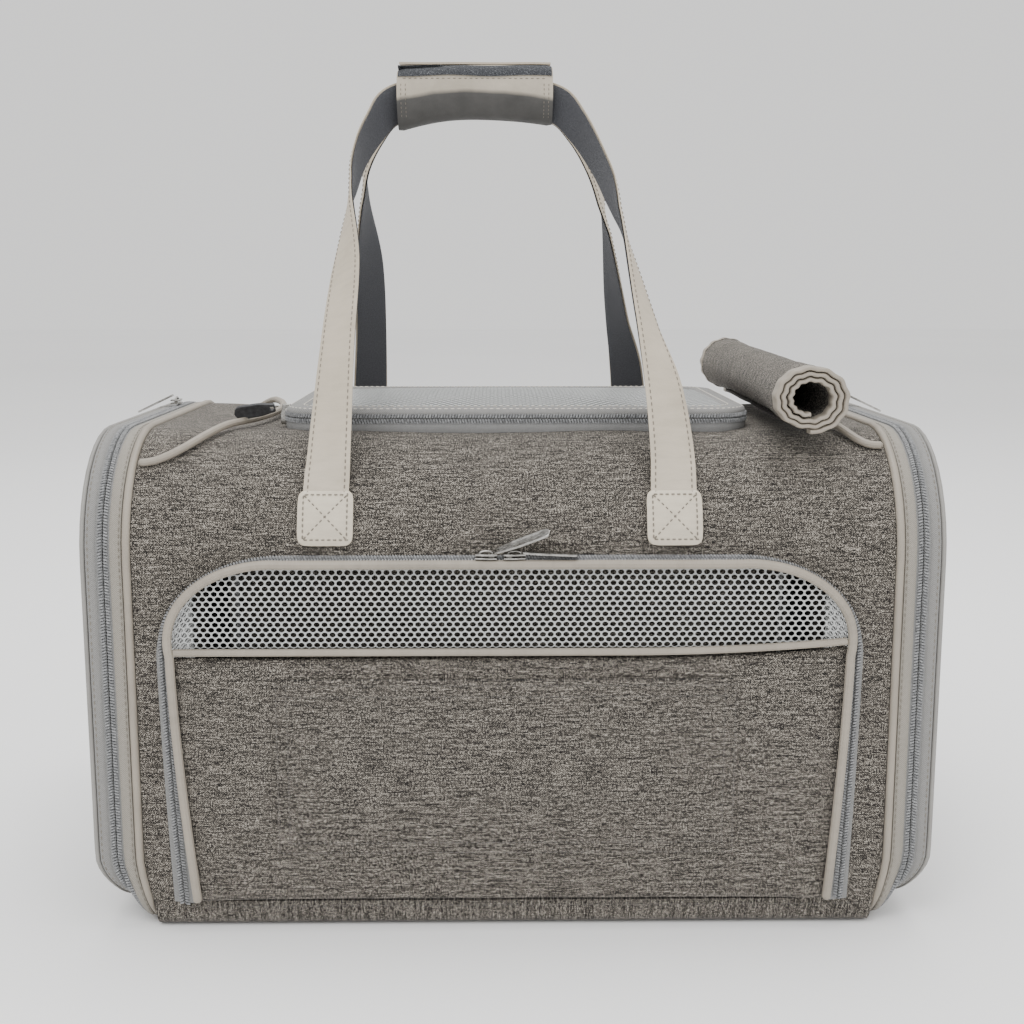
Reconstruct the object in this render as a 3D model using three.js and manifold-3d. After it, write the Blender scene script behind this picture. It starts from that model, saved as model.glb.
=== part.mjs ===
// A soft pet carrier bag: fabric shell on two wire hoops, arched front door, zipped mesh door in the top
// with its rolled-up cover, zipped ends, and two carry straps joined in a wrapped grip.
// Millimetres, +Z up. X runs along the bag, the front faces -Y, the origin is the middle of the underside.
import * as THREE from "three";
import { mergeVertices } from "three/addons/utils/BufferGeometryUtils.js";
import Module from "manifold-3d";

// Driving dimensions
const LENGTH = 455;
const DEPTH = 280;
const HEIGHT = 268;
const TOP_RADIUS = 65; // front and back shoulders
const FLOOR_RADIUS = 8; // bottom corners along the body
const FOOT_RADIUS = { body: 30, zip: 37, end: 44 }; // bottom corners of the rings at the ends
const WALL = 4; // padded fabric
const GAP = 0.3; // left between pieces that touch
const PIPING = 4.2; // diameter of every bound cord
const ZIP_HALF = 3; // width of one side of a coil zip
const BODY_END = 203; // middle of the piping where the body meets an end band
const END_LIFT = 10; // height of the fold that an end panel hangs from

const TOP_DOOR = { left: -129, right: 133, front: -84, back: 82, radius: 24, rise: 10 };
const FRONT_DOOR = { left: -188, right: 184, bottom: 14.5, top: 205.5, cornerX: 66, cornerZ: 52, proud: 4 };
const MESH_LINE = 156; // height of the straight piping under the front door's mesh
const POCKET = { left: -128, right: 119, bottom: 43, top: 141, thick: 1.5 };
const REAR_WINDOW = { halfWidth: 150, bottom: 146, top: 198, radius: 24 };

const STRAP_WIDTH = 24;
const STRAP_THICK = 2.4;
const PATCH = { size: 29, bottom: 212, left: -99, right: 84 };
const GRIP = { left: -67, right: 24, height: 455, high: 38, deep: 38, wall: 3, radius: 13 };
const ROLL = { x: 156.5, front: -125, back: 155, radius: 21, hole: 9.5 };

const HALF = DEPTH / 2;
const SHOULDER = HEIGHT - TOP_RADIUS; // height where the shoulder starts
const PANEL_END = BODY_END - PIPING / 2 - GAP;

const wasm = await Module();
wasm.setup();

const MATERIALS = {
  heather: { color: 0x69645f, roughness: 0.95 },
  piping: { color: 0xc3bcb1, roughness: 0.6 },
  strap: { color: 0xbab5ad, roughness: 0.6 },
  tape: { color: 0x9ba0a3, roughness: 0.85 },
  coil: { color: 0x7d8084, roughness: 0.5 },
  mesh: { color: 0xa6b0b4, roughness: 0.7 },
  metal: { color: 0xb9babb, roughness: 0.25, metalness: 1 },
  pull: { color: 0x373739, roughness: 0.6 },
  board: { color: 0x2c2c2e, roughness: 0.8 },
  fleece: { color: 0xd2cec6, roughness: 1 },
};

const bag = new THREE.Group();

// Adds one named piece.
function piece(name, look, geometry) {
  const mesh = new THREE.Mesh(geometry, new THREE.MeshStandardMaterial(MATERIALS[look]));
  mesh.name = name;
  bag.add(mesh);
  return mesh;
}

// ---- shapes ----

// The axes that a flat outline's first and second coordinates, and its thickness, run along.
const PLANES = {
  side: [[0, 1, 0], [0, 0, 1], [1, 0, 0]],
  front: [[1, 0, 0], [0, 0, 1], [0, -1, 0]],
  top: [[1, 0, 0], [0, 1, 0], [0, 0, 1]],
};

// A plate: an outline in one plane with holes, between two places on the axis across it.
function plate(plane, outline, from, to, holes = []) {
  const [across, up, out] = PLANES[plane].map((v) => new THREE.Vector3(...v));
  const shape = new THREE.Shape(outline.map(([a, b]) => new THREE.Vector2(a, b)));
  shape.holes = holes.map((hole) => new THREE.Path(hole.map(([a, b]) => new THREE.Vector2(a, b))));
  const thickness = Math.abs(to - from);
  const geometry = new THREE.ExtrudeGeometry(shape, { depth: thickness, bevelEnabled: false });
  const sign = out.x + out.y + out.z;
  geometry.translate(0, 0, Math.min(sign * from, sign * to));
  return geometry.applyMatrix4(new THREE.Matrix4().makeBasis(across, up, out));
}

// Points on an ellipse quarter or any other stretch of it, angles in quarter turns.
function arc(centre, radii, from, to, steps) {
  return Array.from({ length: steps + 1 }, (_, i) => {
    const angle = ((from + ((to - from) * i) / steps) * Math.PI) / 2;
    return [centre[0] + radii[0] * Math.cos(angle), centre[1] + radii[1] * Math.sin(angle)];
  });
}

// A rectangle with round corners; the two lower corners may have their own radius.
function roundRect(left, right, bottom, top, radius, steps = 4, lowRadius = radius) {
  return [
    ...arc([left + lowRadius, bottom + lowRadius], [lowRadius, lowRadius], 2, 3, steps),
    ...arc([right - lowRadius, bottom + lowRadius], [lowRadius, lowRadius], 3, 4, steps),
    ...arc([right - radius, top - radius], [radius, radius], 0, 1, steps),
    ...arc([left + radius, top - radius], [radius, radius], 1, 2, steps),
  ];
}

// The bag's cross-section, grown by an offset, with its underside at a height of its own.
function section(offset, bottom = -offset, foot = FOOT_RADIUS.body) {
  const top = TOP_RADIUS + offset;
  const low = Math.max(foot + offset, 6);
  return roundRect(-HALF - offset, HALF + offset, bottom, HEIGHT + offset, top, 6, low);
}

// A hoop of that cross-section between two offsets.
function hoop([xFrom, xTo], outer, inner, lowOuter, lowInner, foot) {
  const hole = section(inner, lowInner, foot);
  return plate("side", section(outer, lowOuter, foot), xFrom, xTo, [hole]);
}

// A round cord through some points.
function cord(points, diameter, steps) {
  const section = new THREE.Shape();
  section.absarc(0, 0, diameter / 2, 0, Math.PI * 2);
  const path = new THREE.CatmullRomCurve3(points.map((p) => new THREE.Vector3(...p)));
  return new THREE.ExtrudeGeometry(section, {
    steps,
    curveSegments: 4,
    bevelEnabled: false,
    extrudePath: path,
  });
}

// A flat band: a rectangle carried along centres, each with the direction that the width lies in.
function ribbon(centres, widths, width, thickness) {
  const corners = [];
  const last = centres.length - 1;
  centres.forEach((centre, i) => {
    const along = centres[Math.min(i + 1, last)].clone().sub(centres[Math.max(i - 1, 0)]).normalize();
    const across = widths[i].clone().addScaledVector(along, -widths[i].dot(along)).normalize();
    const out = new THREE.Vector3().crossVectors(along, across);
    for (const [a, b] of [[-1, -1], [1, -1], [1, 1], [-1, 1]]) {
      const corner = centre.clone().addScaledVector(across, (a * width) / 2);
      corners.push(corner.addScaledVector(out, (b * thickness) / 2));
    }
  });
  const faces = [0, 2, 1, 0, 3, 2];
  for (let i = 0; i < last; i++) {
    for (let k = 0; k < 4; k++) {
      const [a, b] = [4 * i + k, 4 * i + ((k + 1) % 4)];
      faces.push(a, b, b + 4, a, b + 4, a + 4);
    }
  }
  faces.push(...[0, 1, 2, 0, 2, 3].map((k) => 4 * last + k));
  const geometry = new THREE.BufferGeometry().setFromPoints(corners);
  geometry.setIndex(faces);
  return geometry.toNonIndexed();
}

function solid(geometry) {
  const bare = new THREE.BufferGeometry();
  const loose = geometry.index ? geometry.toNonIndexed() : geometry;
  bare.setAttribute("position", loose.getAttribute("position"));
  const merged = mergeVertices(bare, 1e-3);
  return new wasm.Manifold(
    new wasm.Mesh({
      numProp: 3,
      vertProperties: merged.attributes.position.array,
      triVerts: new Uint32Array(merged.index.array),
    }),
  );
}

function fromSolid(made) {
  const mesh = made.getMesh();
  const geometry = new THREE.BufferGeometry();
  geometry.setAttribute("position", new THREE.BufferAttribute(mesh.vertProperties, 3));
  geometry.setIndex(new THREE.BufferAttribute(mesh.triVerts, 1));
  return geometry.toNonIndexed();
}

const cut = (geometry, cutter) => fromSolid(solid(geometry).subtract(solid(cutter)));
const join = (a, b) => fromSolid(solid(a).add(solid(b)));

// ---- the skin of the bag ----

// A point of the skin at the front (side -1) or back (side 1): along is the distance up the wall and over
// the shoulder, lift the distance out from the skin.
function skin(side, along, lift = 0) {
  if (along <= SHOULDER) return [side * (HALF + lift), along];
  const angle = Math.min((along - SHOULDER) / TOP_RADIUS, Math.PI / 2);
  const radius = TOP_RADIUS + lift;
  const past = along - SHOULDER - TOP_RADIUS * angle;
  return [
    side * (HALF - TOP_RADIUS + radius * Math.cos(angle) - past),
    SHOULDER + radius * Math.sin(angle),
  ];
}

// How far along the skin the point lies that is this deep (towards the middle) on the shoulder.
const alongAtDepth = (depth) =>
  SHOULDER + TOP_RADIUS * Math.acos((depth - HALF + TOP_RADIUS) / TOP_RADIUS);

// How far along the skin a height on the shoulder is.
const alongAtHeight = (height) =>
  height <= SHOULDER ? height : SHOULDER + TOP_RADIUS * Math.asin((height - SHOULDER) / TOP_RADIUS);

// A strip of the skin between two distances along it, from inner to outer lift, between two x.
function skinStrip(side, fromAlong, toAlong, inner, outer, xFrom, xTo, steps = 8) {
  const start = Math.max(fromAlong, Math.min(toAlong, SHOULDER));
  const bend = Array.from({ length: steps + 1 }, (_, i) => start + ((toAlong - start) * i) / steps);
  const places = fromAlong < start ? [fromAlong, ...bend] : bend;
  const outline = [
    ...places.map((along) => skin(side, along, outer)),
    ...places.reverse().map((along) => skin(side, along, inner)),
  ];
  return plate("side", outline, xFrom, xTo);
}

// ---- shell ----

// The front door's opening, shrunk by an inset: upright sides and wide elliptical upper corners.
function arch(inset, bottomInset = 0, topInset = inset) {
  const { left, right, bottom, top, cornerX, cornerZ } = FRONT_DOOR;
  const [rx, rz] = [cornerX - inset, cornerZ - topInset];
  const low = bottom + bottomInset;
  return [
    [right - inset, low],
    ...arc([right - cornerX, top - cornerZ], [rx, rz], 0, 1, 8),
    ...arc([left + cornerX, top - cornerZ], [rx, rz], 1, 2, 8),
    [left + inset, low],
  ];
}

// A strip that follows that arch between two insets, open at the bottom.
function archStrip(outer, width, lift, yFrom, yTo, topInset = outer) {
  const inner = arch(outer + width, lift, topInset + width).reverse();
  return plate("front", [...arch(outer, lift, topInset), ...inner], yFrom, yTo);
}

const roundWindow = (inset) =>
  roundRect(
    -REAR_WINDOW.halfWidth + inset,
    REAR_WINDOW.halfWidth - inset,
    REAR_WINDOW.bottom + inset,
    REAR_WINDOW.top - inset,
    REAR_WINDOW.radius - inset,
  );

const topRing = (inset) =>
  roundRect(
    TOP_DOOR.left + inset,
    TOP_DOOR.right - inset,
    TOP_DOOR.front + inset,
    TOP_DOOR.back - inset,
    TOP_DOOR.radius - inset,
  );

function shellPanels() {
  const seam = FRONT_DOOR.bottom - GAP;
  const tray = [
    ...arc([-HALF + FLOOR_RADIUS, FLOOR_RADIUS], [FLOOR_RADIUS, FLOOR_RADIUS], 2, 3, 4),
    ...arc([HALF - FLOOR_RADIUS, FLOOR_RADIUS], [FLOOR_RADIUS, FLOOR_RADIUS], 3, 4, 4),
  ].filter(([, z]) => z < seam);
  const innerRadius = FLOOR_RADIUS - WALL;
  const hollow = [
    ...arc([HALF - FLOOR_RADIUS, FLOOR_RADIUS], [innerRadius, innerRadius], 4, 3, 4),
    ...arc([-HALF + FLOOR_RADIUS, FLOOR_RADIUS], [innerRadius, innerRadius], 3, 2, 4),
  ].filter(([, z]) => z < seam);
  const shelf = [
    [-HALF, seam],
    ...tray,
    [HALF, seam],
    [HALF - WALL, seam],
    ...hollow,
    [-HALF + WALL, seam],
  ];
  piece("bottom_panel", "heather", plate("side", shelf, -PANEL_END, PANEL_END));

  const frontEnd = alongAtDepth(-TOP_DOOR.front + 1.5);
  const backEnd = alongAtDepth(TOP_DOOR.back + 1.5);
  const front = skinStrip(-1, FRONT_DOOR.bottom, frontEnd, -WALL, 0, -PANEL_END, PANEL_END);
  const doorway = plate("front", arch(-GAP, -5), -HALF - 10, -HALF + 20);
  piece("front_panel", "heather", cut(front, doorway));
  const rear = skinStrip(1, FRONT_DOOR.bottom, backEnd, -WALL, 0, -PANEL_END, PANEL_END);
  const window = plate("front", roundWindow(-GAP), HALF - 20, HALF + 10);
  piece("rear_panel", "heather", cut(rear, window));
  piece("rear_mesh_window", "mesh", plate("front", roundWindow(PIPING / 2 + GAP), HALF - 3, HALF - 1));
  const piping = [roundWindow(PIPING / 2)];
  piece("rear_window_piping", "piping", plate("front", roundWindow(0), HALF - 3, HALF + 1, piping));

  const corners = (left, right) => [
    [left, TOP_DOOR.front],
    [right, TOP_DOOR.front],
    [right, TOP_DOOR.back],
    [left, TOP_DOOR.back],
  ];
  for (const [name, left, right] of [
    ["top_left_panel", -PANEL_END, TOP_DOOR.left - GAP],
    ["top_right_panel", TOP_DOOR.right + GAP, PANEL_END],
  ]) {
    piece(name, "heather", plate("top", corners(left, right), HEIGHT - WALL, HEIGHT));
  }
  const square = corners(TOP_DOOR.left, TOP_DOOR.right);
  const zipBase = HEIGHT + TOP_DOOR.rise / 2;
  piece("top_zip_body", "tape", plate("top", square, HEIGHT - WALL, zipBase, [topRing(ZIP_HALF)]));
  piece("front_zip_body", "coil", archStrip(0, ZIP_HALF, 1, -HALF - 2, -HALF + 3));
}

// The seam cord that curves over each top corner, from the front shoulder to the back one.
function shoulderPiping(name, side) {
  const inner = side < 0 ? TOP_DOOR.left - 14 : TOP_DOOR.right + 39;
  const outer = side * (PANEL_END - 2.2);
  const [reachBack, bend] = side < 0 ? [118, 1] : [108, 0.7];
  const lift = PIPING / 2 + 3 * GAP;
  const reach = inner - outer;
  const points = [];
  for (let i = 0; i <= 12; i++) {
    const turn = (Math.PI * i) / 12;
    const depth = reachBack * Math.cos(turn);
    const along = Math.abs(depth) > HALF - TOP_RADIUS ? alongAtDepth(Math.abs(depth)) : null;
    const x = outer + reach * Math.max(Math.sin(turn), 0) ** bend;
    const [y, z] = along === null ? [-depth, HEIGHT + lift] : skin(-Math.sign(depth), along, lift);
    points.push([x, y, z]);
  }
  piece(name, "piping", cord(points, PIPING, 30));
}

// ---- front door ----

const DOOR_FACE = -HALF - FRONT_DOOR.proud; // outer face of the door's fabric
const DOOR_ZIP_INSET = ZIP_HALF + GAP;
const DOOR_PANEL_INSET = 2 * ZIP_HALF + 2 * GAP;
const PIPING_INSET = { side: 7, top: 1.3 }; // at the top the cord stands in front of the zip

// The stretch of the door's arch above or below a height, between two depths.
function archPart(above, line, yFrom, yTo) {
  const [low, high] = above ? [-1, line] : [line, HEIGHT];
  const rest = [[-HALF * 2, low], [HALF * 2, low], [HALF * 2, high], [-HALF * 2, high]];
  return cut(plate("front", arch(DOOR_PANEL_INSET, GAP), yFrom, yTo), plate("front", rest, -HALF * 2, 0));
}

function frontDoor() {
  const back = DOOR_FACE + WALL;
  const half = PIPING / 2 + GAP;
  piece("front_door_panel", "heather", archPart(false, MESH_LINE - half, DOOR_FACE, back));
  piece("front_door_mesh", "mesh", archPart(true, MESH_LINE + half, DOOR_FACE + 1, back));
  piece("front_zip_door", "coil", archStrip(DOOR_ZIP_INSET, ZIP_HALF, 1, DOOR_FACE, -HALF + 1));
  const lip = DOOR_FACE - GAP;
  const { side, top: above } = PIPING_INSET;
  piece("front_door_piping", "piping", archStrip(side, PIPING, 6, lip - PIPING, lip, above));
  const bar = [
    [FRONT_DOOR.left + 12, MESH_LINE - PIPING / 2],
    [FRONT_DOOR.right - 12, MESH_LINE - PIPING / 2],
    [FRONT_DOOR.right - 12, MESH_LINE + PIPING / 2],
    [FRONT_DOOR.left + 12, MESH_LINE + PIPING / 2],
  ];
  piece("front_crossbar_piping", "piping", plate("front", bar, DOOR_FACE - 3, back));
  const { left, right, bottom, top, thick } = POCKET;
  const pocket = roundRect(left, right, bottom, top, 3, 2);
  piece("front_pocket", "heather", plate("front", pocket, lip - thick, lip));
}

// ---- top door ----

function topDoor() {
  const foot = HEIGHT + TOP_DOOR.rise / 2 + GAP;
  const lid = HEIGHT + TOP_DOOR.rise - 2;
  piece("top_zip_door", "tape", plate("top", topRing(0), foot, lid - GAP, [topRing(ZIP_HALF)]));
  piece("top_door_frame", "tape", plate("top", topRing(0), lid, lid + 2.5, [topRing(12)]));
  piece("top_door_mesh", "mesh", plate("top", topRing(12 + GAP), lid, lid + 2));
}

// ---- ends ----

// The rings of an end, counted outwards from the middle of its inner piping: near face, far face.
const RING = {
  wire: [-6.5, -3.5],
  innerPiping: [-PIPING / 2, PIPING / 2],
  band: [2.4, 8.7],
  gusset: [3, 10],
  zipBody: [9, 12],
  zipDoor: [12.3, 15.3],
  rim: [15.6, 21.5],
  face: [18.5, 21.5],
  mesh: [19, 21],
  outerPiping: [21.8, LENGTH / 2 - BODY_END],
};
const END_WINDOW = { inset: 42, sill: 60 };

function endPieces(name, side) {
  const x = ([near, far]) => [side * (BODY_END + near), side * (BODY_END + far)].sort((p, q) => p - q);
  const sill = END_LIFT - GAP; // the body's rings are open under the end panel's fold
  const window = (gap) => section(-END_WINDOW.inset - gap, END_WINDOW.sill + gap);
  const wall = -WALL - 0.5; // just inside the fabric
  const { zip, end } = FOOT_RADIUS;
  piece(`end_piping_inner_${name}`, "piping", hoop(x(RING.innerPiping), 2.4, -2, 0));
  piece(`end_band_${name}`, "tape", hoop(x(RING.band), 1, -3, 0, sill));
  piece(`end_zip_body_${name}`, "coil", hoop(x(RING.zipBody), 1.5, -1.5, 0.3, sill, zip));
  const zipDoor = hoop(x(RING.zipDoor), 1.5, -1.5, END_LIFT, END_LIFT + ZIP_HALF, zip);
  piece(`end_zip_door_${name}`, "coil", zipDoor);
  const rim = hoop(x(RING.rim), 0, -3, END_LIFT, END_LIFT + 3, end);
  const face = plate("side", section(-1, END_LIFT + 1, end), ...x(RING.face), [window(0)]);
  piece(`end_panel_${name}`, "heather", join(rim, face));
  piece(`end_mesh_${name}`, "mesh", plate("side", window(GAP), ...x(RING.mesh)));
  const outerPiping = hoop(x(RING.outerPiping), 1, 1 - PIPING, END_LIFT, END_LIFT + 4, end);
  piece(`end_piping_outer_${name}`, "piping", outerPiping);
  piece(`wire_hoop_${name}`, "metal", hoop(x(RING.wire), wall, wall - 3, 4.5, 7.5));
  const gusset = hoop(x(RING.gusset), wall, wall - 7.5, END_LIFT + 4, END_LIFT + 12);
  piece(`end_gusset_${name}`, "mesh", gusset);
}

// ---- sliders and pulls ----

const SLIDER = { long: 12, wide: 7, high: 4 };

// A slider: a body with round ends and a bridge that the pull hangs on.
function slider(name, centre, turn) {
  const { long, wide, high } = SLIDER;
  const body = plate("top", roundRect(-long / 2, long / 2, -wide / 2, wide / 2, 2.5, 3), 0, high / 2);
  const bridge = plate("top", roundRect(-long / 4, long / 4, -1.2, 1.2, 1, 2), high / 2 - 0.2, high);
  place(piece(name, "metal", join(body, bridge)), centre, turn);
}

// A flat pull with a round free end, running out along +X from its hinge.
function pull(name, look, centre, turn, long, wide, thick) {
  const neck = wide / 4;
  const outline = [
    [1, -neck],
    [long * 0.35, -wide / 2],
    ...arc([long - wide / 2, 0], [wide / 2, wide / 2], -1, 1, 6),
    [long * 0.35, wide / 2],
    [1, neck],
  ];
  place(piece(name, look, plate("top", outline, -thick / 2, thick / 2)), centre, turn);
}

function place(mesh, centre, turn) {
  mesh.position.set(...centre);
  mesh.rotation.set(...turn);
}

// Both sliders lie on the ledge over the door, facing up.
const FRONT_SLIDERS = { left: -15, right: 0, height: FRONT_DOOR.top + GAP, y: DOOR_FACE };
const END_SLIDER_Y = 50;

function zipHardware() {
  const { left, right, height, y } = FRONT_SLIDERS;
  slider("front_slider_left", [left, y, height], [0, 0, 0]);
  slider("front_slider_right", [right, y, height], [0, 0, 0]);
  const pivot = height + SLIDER.high - 0.7;
  const reach = SLIDER.long / 4 + 0.6; // from a slider's middle to its pull's hinge
  pull("front_pull_left", "metal", [left + reach, y, pivot], [0, -0.33, 0], 32, 7, 1.1);
  pull("front_pull_right", "metal", [right + reach, y, pivot], [0, 0.04, 0], 30, 7, 1.1);
  const corner = [TOP_DOOR.left - GAP, TOP_DOOR.front + 26, HEIGHT + 5.5];
  slider("top_slider", corner, [Math.PI / 2, -Math.PI / 2, 0]);
  pull("top_pull", "pull", [corner[0] - 5, corner[1] - 8, HEIGHT + 10], [0, Math.PI - 0.15, 0], 24, 8, 2);
  for (const side of [-1, 1]) {
    const name = side < 0 ? "left" : "right";
    const x = side * (BODY_END + 14);
    slider(`end_slider_${name}`, [x, END_SLIDER_Y, HEIGHT + 2.2], [0, 0, Math.PI / 2]);
    const turn = side < 0 ? [0, Math.PI - 0.45, 0] : [0, 0.45, 0];
    pull(`end_pull_${name}`, "metal", [x, END_SLIDER_Y - 8, HEIGHT + 8.5], turn, 26, 6, 1.2);
  }
}

// ---- handles ----

function patch(name, side, x) {
  const low = alongAtHeight(PATCH.bottom);
  const half = PATCH.size / 2;
  const lift = STRAP_THICK + 3 * GAP;
  piece(name, "strap", skinStrip(side, low, low + PATCH.size, lift, lift + 1.4, x - half, x + half, 4));
}

// Where a strap's middle line runs from the left patch through the grip to the right one, as
// [x, distance from the middle of the bag, height, twist in degrees].
function strapRoute() {
  const inGrip = GRIP.height;
  const lift = STRAP_THICK / 2 + GAP;
  const foot = (x, along) => {
    const [y, z] = skin(1, along, lift);
    return [x, y, z, 0];
  };
  const low = alongAtHeight(PATCH.bottom) + 6;
  return [
    foot(PATCH.left, low),
    foot(PATCH.left, low + 10),
    foot(PATCH.left, low + 22),
    [-98, 122.5, 258, -14],
    [-94.5, 93, 316, -38],
    [-92.5, 65, 357, -52],
    [-92.5, 38, 395, -85],
    [-88, 22, 422, -104],
    [-80, 12, 438, -114],
    [GRIP.left - 4, 8.5, inGrip - 5.5, -118],
    [-56, 7, inGrip - 1, -116],
    [-22, 7, inGrip, -116],
    [13, 7, inGrip - 1, -116],
    [GRIP.right + 4, 8.5, inGrip - 5, -118],
    [38, 12, 439, -114],
    [47, 20, 424, -106],
    [55, 31, 405, -98],
    [62, 46, 380, -88],
    [73, 85, 324, -59],
    [80, 104, 293, -29],
    [84, 122, 258, -10],
    foot(PATCH.right, low + 22),
    foot(PATCH.right, low + 10),
    foot(PATCH.right, low),
  ];
}

function strap(name, side) {
  const route = strapRoute();
  const middle = (GRIP.left + GRIP.right) / 2;
  const lastFoot = route.length - 1;
  const path = new THREE.CatmullRomCurve3(route.map(([x, y, z]) => new THREE.Vector3(x, side * y, z)));
  const steps = 2 * lastFoot;
  const centres = [];
  const widths = [];
  for (let i = 0; i <= steps; i++) {
    const at = i / 2;
    const [from, to] = [route[Math.floor(at)], route[Math.ceil(at)]];
    const twist = THREE.MathUtils.degToRad((from[3] + to[3]) / 2);
    const centre = path.getPoint(i / steps);
    // The twist turns the inner face towards the middle of the loop, so it changes sign on the right.
    const left = centre.x < middle ? 1 : -1;
    const lean = Math.max(0, Math.min(1, (Math.abs(twist) - Math.PI / 2) * 8));
    const flat = new THREE.Vector3(Math.cos(twist), left * side * -Math.sin(twist), 0);
    const upright = new THREE.Vector3(0, side * 0.45, 0.89);
    centres.push(centre);
    widths.push(mix(left > 0 ? flat : flat.negate(), upright, lean));
  }
  piece(name, "strap", ribbon(centres, widths, STRAP_WIDTH, STRAP_THICK));
}

const mix = (a, b, share) => a.clone().multiplyScalar(1 - share).addScaledVector(b, share);

function grip() {
  const { left, right, height, high, deep, wall, radius } = GRIP;
  const tube = (inset) =>
    roundRect(
      -deep / 2 + inset,
      deep / 2 - inset,
      height - high / 2 + inset,
      height + high / 2 - inset,
      radius - inset,
      3,
    );
  piece("grip_sleeve", "strap", plate("side", tube(0), left, right, [tube(wall)]));
  const top = height + high / 2 + GAP;
  const flap = roundRect(left, right, -7, 12, 2, 2);
  piece("grip_flap", "strap", plate("top", flap, top, top + 1.6));
}

function handles() {
  for (const side of [-1, 1]) {
    const name = side < 0 ? "front" : "rear";
    patch(`strap_patch_${name}_left`, side, PATCH.left);
    patch(`strap_patch_${name}_right`, side, PATCH.right);
    strap(`handle_strap_${name}`, side);
  }
  grip();
}

// ---- cover roll, board and mat ----

function coverRoll() {
  const height = HEIGHT + ROLL.radius + 1;
  const ring = (radius, steps) => arc([ROLL.x, height], [radius, radius], 0, 4, steps).slice(1);
  const roll = plate("front", ring(ROLL.radius, 20), ROLL.front, ROLL.back, [ring(ROLL.hole, 12)]);
  const tail = [
    [ROLL.x, height - ROLL.radius + 0.2],
    [ROLL.x + 12, HEIGHT + 1],
    [ROLL.x + 12, HEIGHT + 2.5],
    [ROLL.x, height - ROLL.radius + 4],
  ];
  piece("cover_roll", "heather", join(roll, plate("front", tail, ROLL.front + 50, ROLL.back - 80)));
}

function inside() {
  const board = roundRect(-195, 195, -122, 122, 12, 3);
  piece("base_board", "board", plate("top", board, WALL + GAP, WALL + GAP + 3));
  const mat = roundRect(-190, 190, -124, 124, 20, 4);
  piece("sleeping_mat", "fleece", plate("top", mat, WALL + 2 * GAP + 3, WALL + 21));
}

shellPanels();
shoulderPiping("shoulder_piping_left", -1);
shoulderPiping("shoulder_piping_right", 1);
frontDoor();
topDoor();
endPieces("left", -1);
endPieces("right", 1);
zipHardware();
handles();
coverRoll();
inside();

export default bag;
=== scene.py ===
"""A soft pet carrier bag in cloth, coated binding, mesh and nickel, on a pale floor."""

import math

import bpy
from mathutils import Matrix, Vector, noise
from mathutils.bvhtree import BVHTree


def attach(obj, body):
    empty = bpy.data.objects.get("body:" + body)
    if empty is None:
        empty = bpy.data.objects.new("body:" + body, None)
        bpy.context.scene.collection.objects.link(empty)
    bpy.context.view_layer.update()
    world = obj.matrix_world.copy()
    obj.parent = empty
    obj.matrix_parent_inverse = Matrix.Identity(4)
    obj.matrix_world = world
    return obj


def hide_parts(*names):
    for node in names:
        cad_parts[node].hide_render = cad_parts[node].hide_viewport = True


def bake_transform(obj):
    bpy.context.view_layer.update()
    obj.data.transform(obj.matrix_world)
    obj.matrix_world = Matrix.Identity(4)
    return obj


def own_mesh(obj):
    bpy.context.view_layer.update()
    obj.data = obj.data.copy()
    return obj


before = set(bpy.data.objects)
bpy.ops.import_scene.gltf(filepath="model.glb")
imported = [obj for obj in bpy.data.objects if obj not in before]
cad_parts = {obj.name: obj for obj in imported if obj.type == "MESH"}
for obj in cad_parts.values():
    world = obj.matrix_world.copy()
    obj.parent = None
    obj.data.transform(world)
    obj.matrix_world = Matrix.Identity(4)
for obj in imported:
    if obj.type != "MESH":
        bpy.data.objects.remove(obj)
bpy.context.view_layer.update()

MM = 0.001

# Driving sizes, in millimetres, as in the frame
HEIGHT = 268
HALF = 140
TOP_RADIUS = 65
FLOOR_RADIUS = 8
WALL = 4
PIPING = 4.2
SHOULDER = HEIGHT - TOP_RADIUS
BODY_END = 203
PANEL_END = 200.6
END_LIFT = 10
TOP_DOOR = {"left": -129, "right": 133, "front": -84, "back": 82, "radius": 24}
DOOR = {"left": -188, "right": 184, "bottom": 14.5, "top": 205.5, "corner_x": 66, "corner_z": 52}
DOOR_FACE = -144
MESH_LINE = 156
POCKET = {"left": -128, "right": 119, "bottom": 43, "top": 141}
WINDOW = {"half_width": 150, "bottom": 146, "top": 198, "radius": 24}
STRAP_WIDTH = 24
PATCH_SIZE = 29
PATCH_BOTTOM = 212
PATCH_X = {"left": -99, "right": 84}
GRIP = {"left": -67, "right": 24, "height": 455, "half": 19}
ROLL = {"x": 156.5, "front": -125, "back": 155, "z": 290, "radius": 20.5, "hole": 10}
TOOTH_PITCH = 1.6

# The rings' foot corners, tighter than the frame's because the ends are also drawn in there
FOOT_RADIUS = {"body": 20, "zip": 24, "end": 28}


# ---- hand tools ----


def pick(piece):
    """Leaves only this piece selected, and active."""
    bpy.ops.object.select_all(action="DESELECT")
    piece.select_set(True)
    bpy.context.view_layer.objects.active = piece


def apply_all(piece):
    """Applies every modifier in turn."""
    pick(piece)
    for modifier in list(piece.modifiers):
        bpy.ops.object.modifier_apply(modifier=modifier.name)


def smooth(piece, degrees=35):
    pick(piece)
    bpy.ops.object.shade_smooth_by_angle(angle=math.radians(degrees))


def outwards(piece):
    """Turns all faces of a closed piece outwards."""
    pick(piece)
    bpy.ops.object.mode_set(mode="EDIT")
    bpy.ops.mesh.select_all(action="SELECT")
    bpy.ops.mesh.normals_make_consistent(inside=False)
    bpy.ops.object.mode_set(mode="OBJECT")


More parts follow.
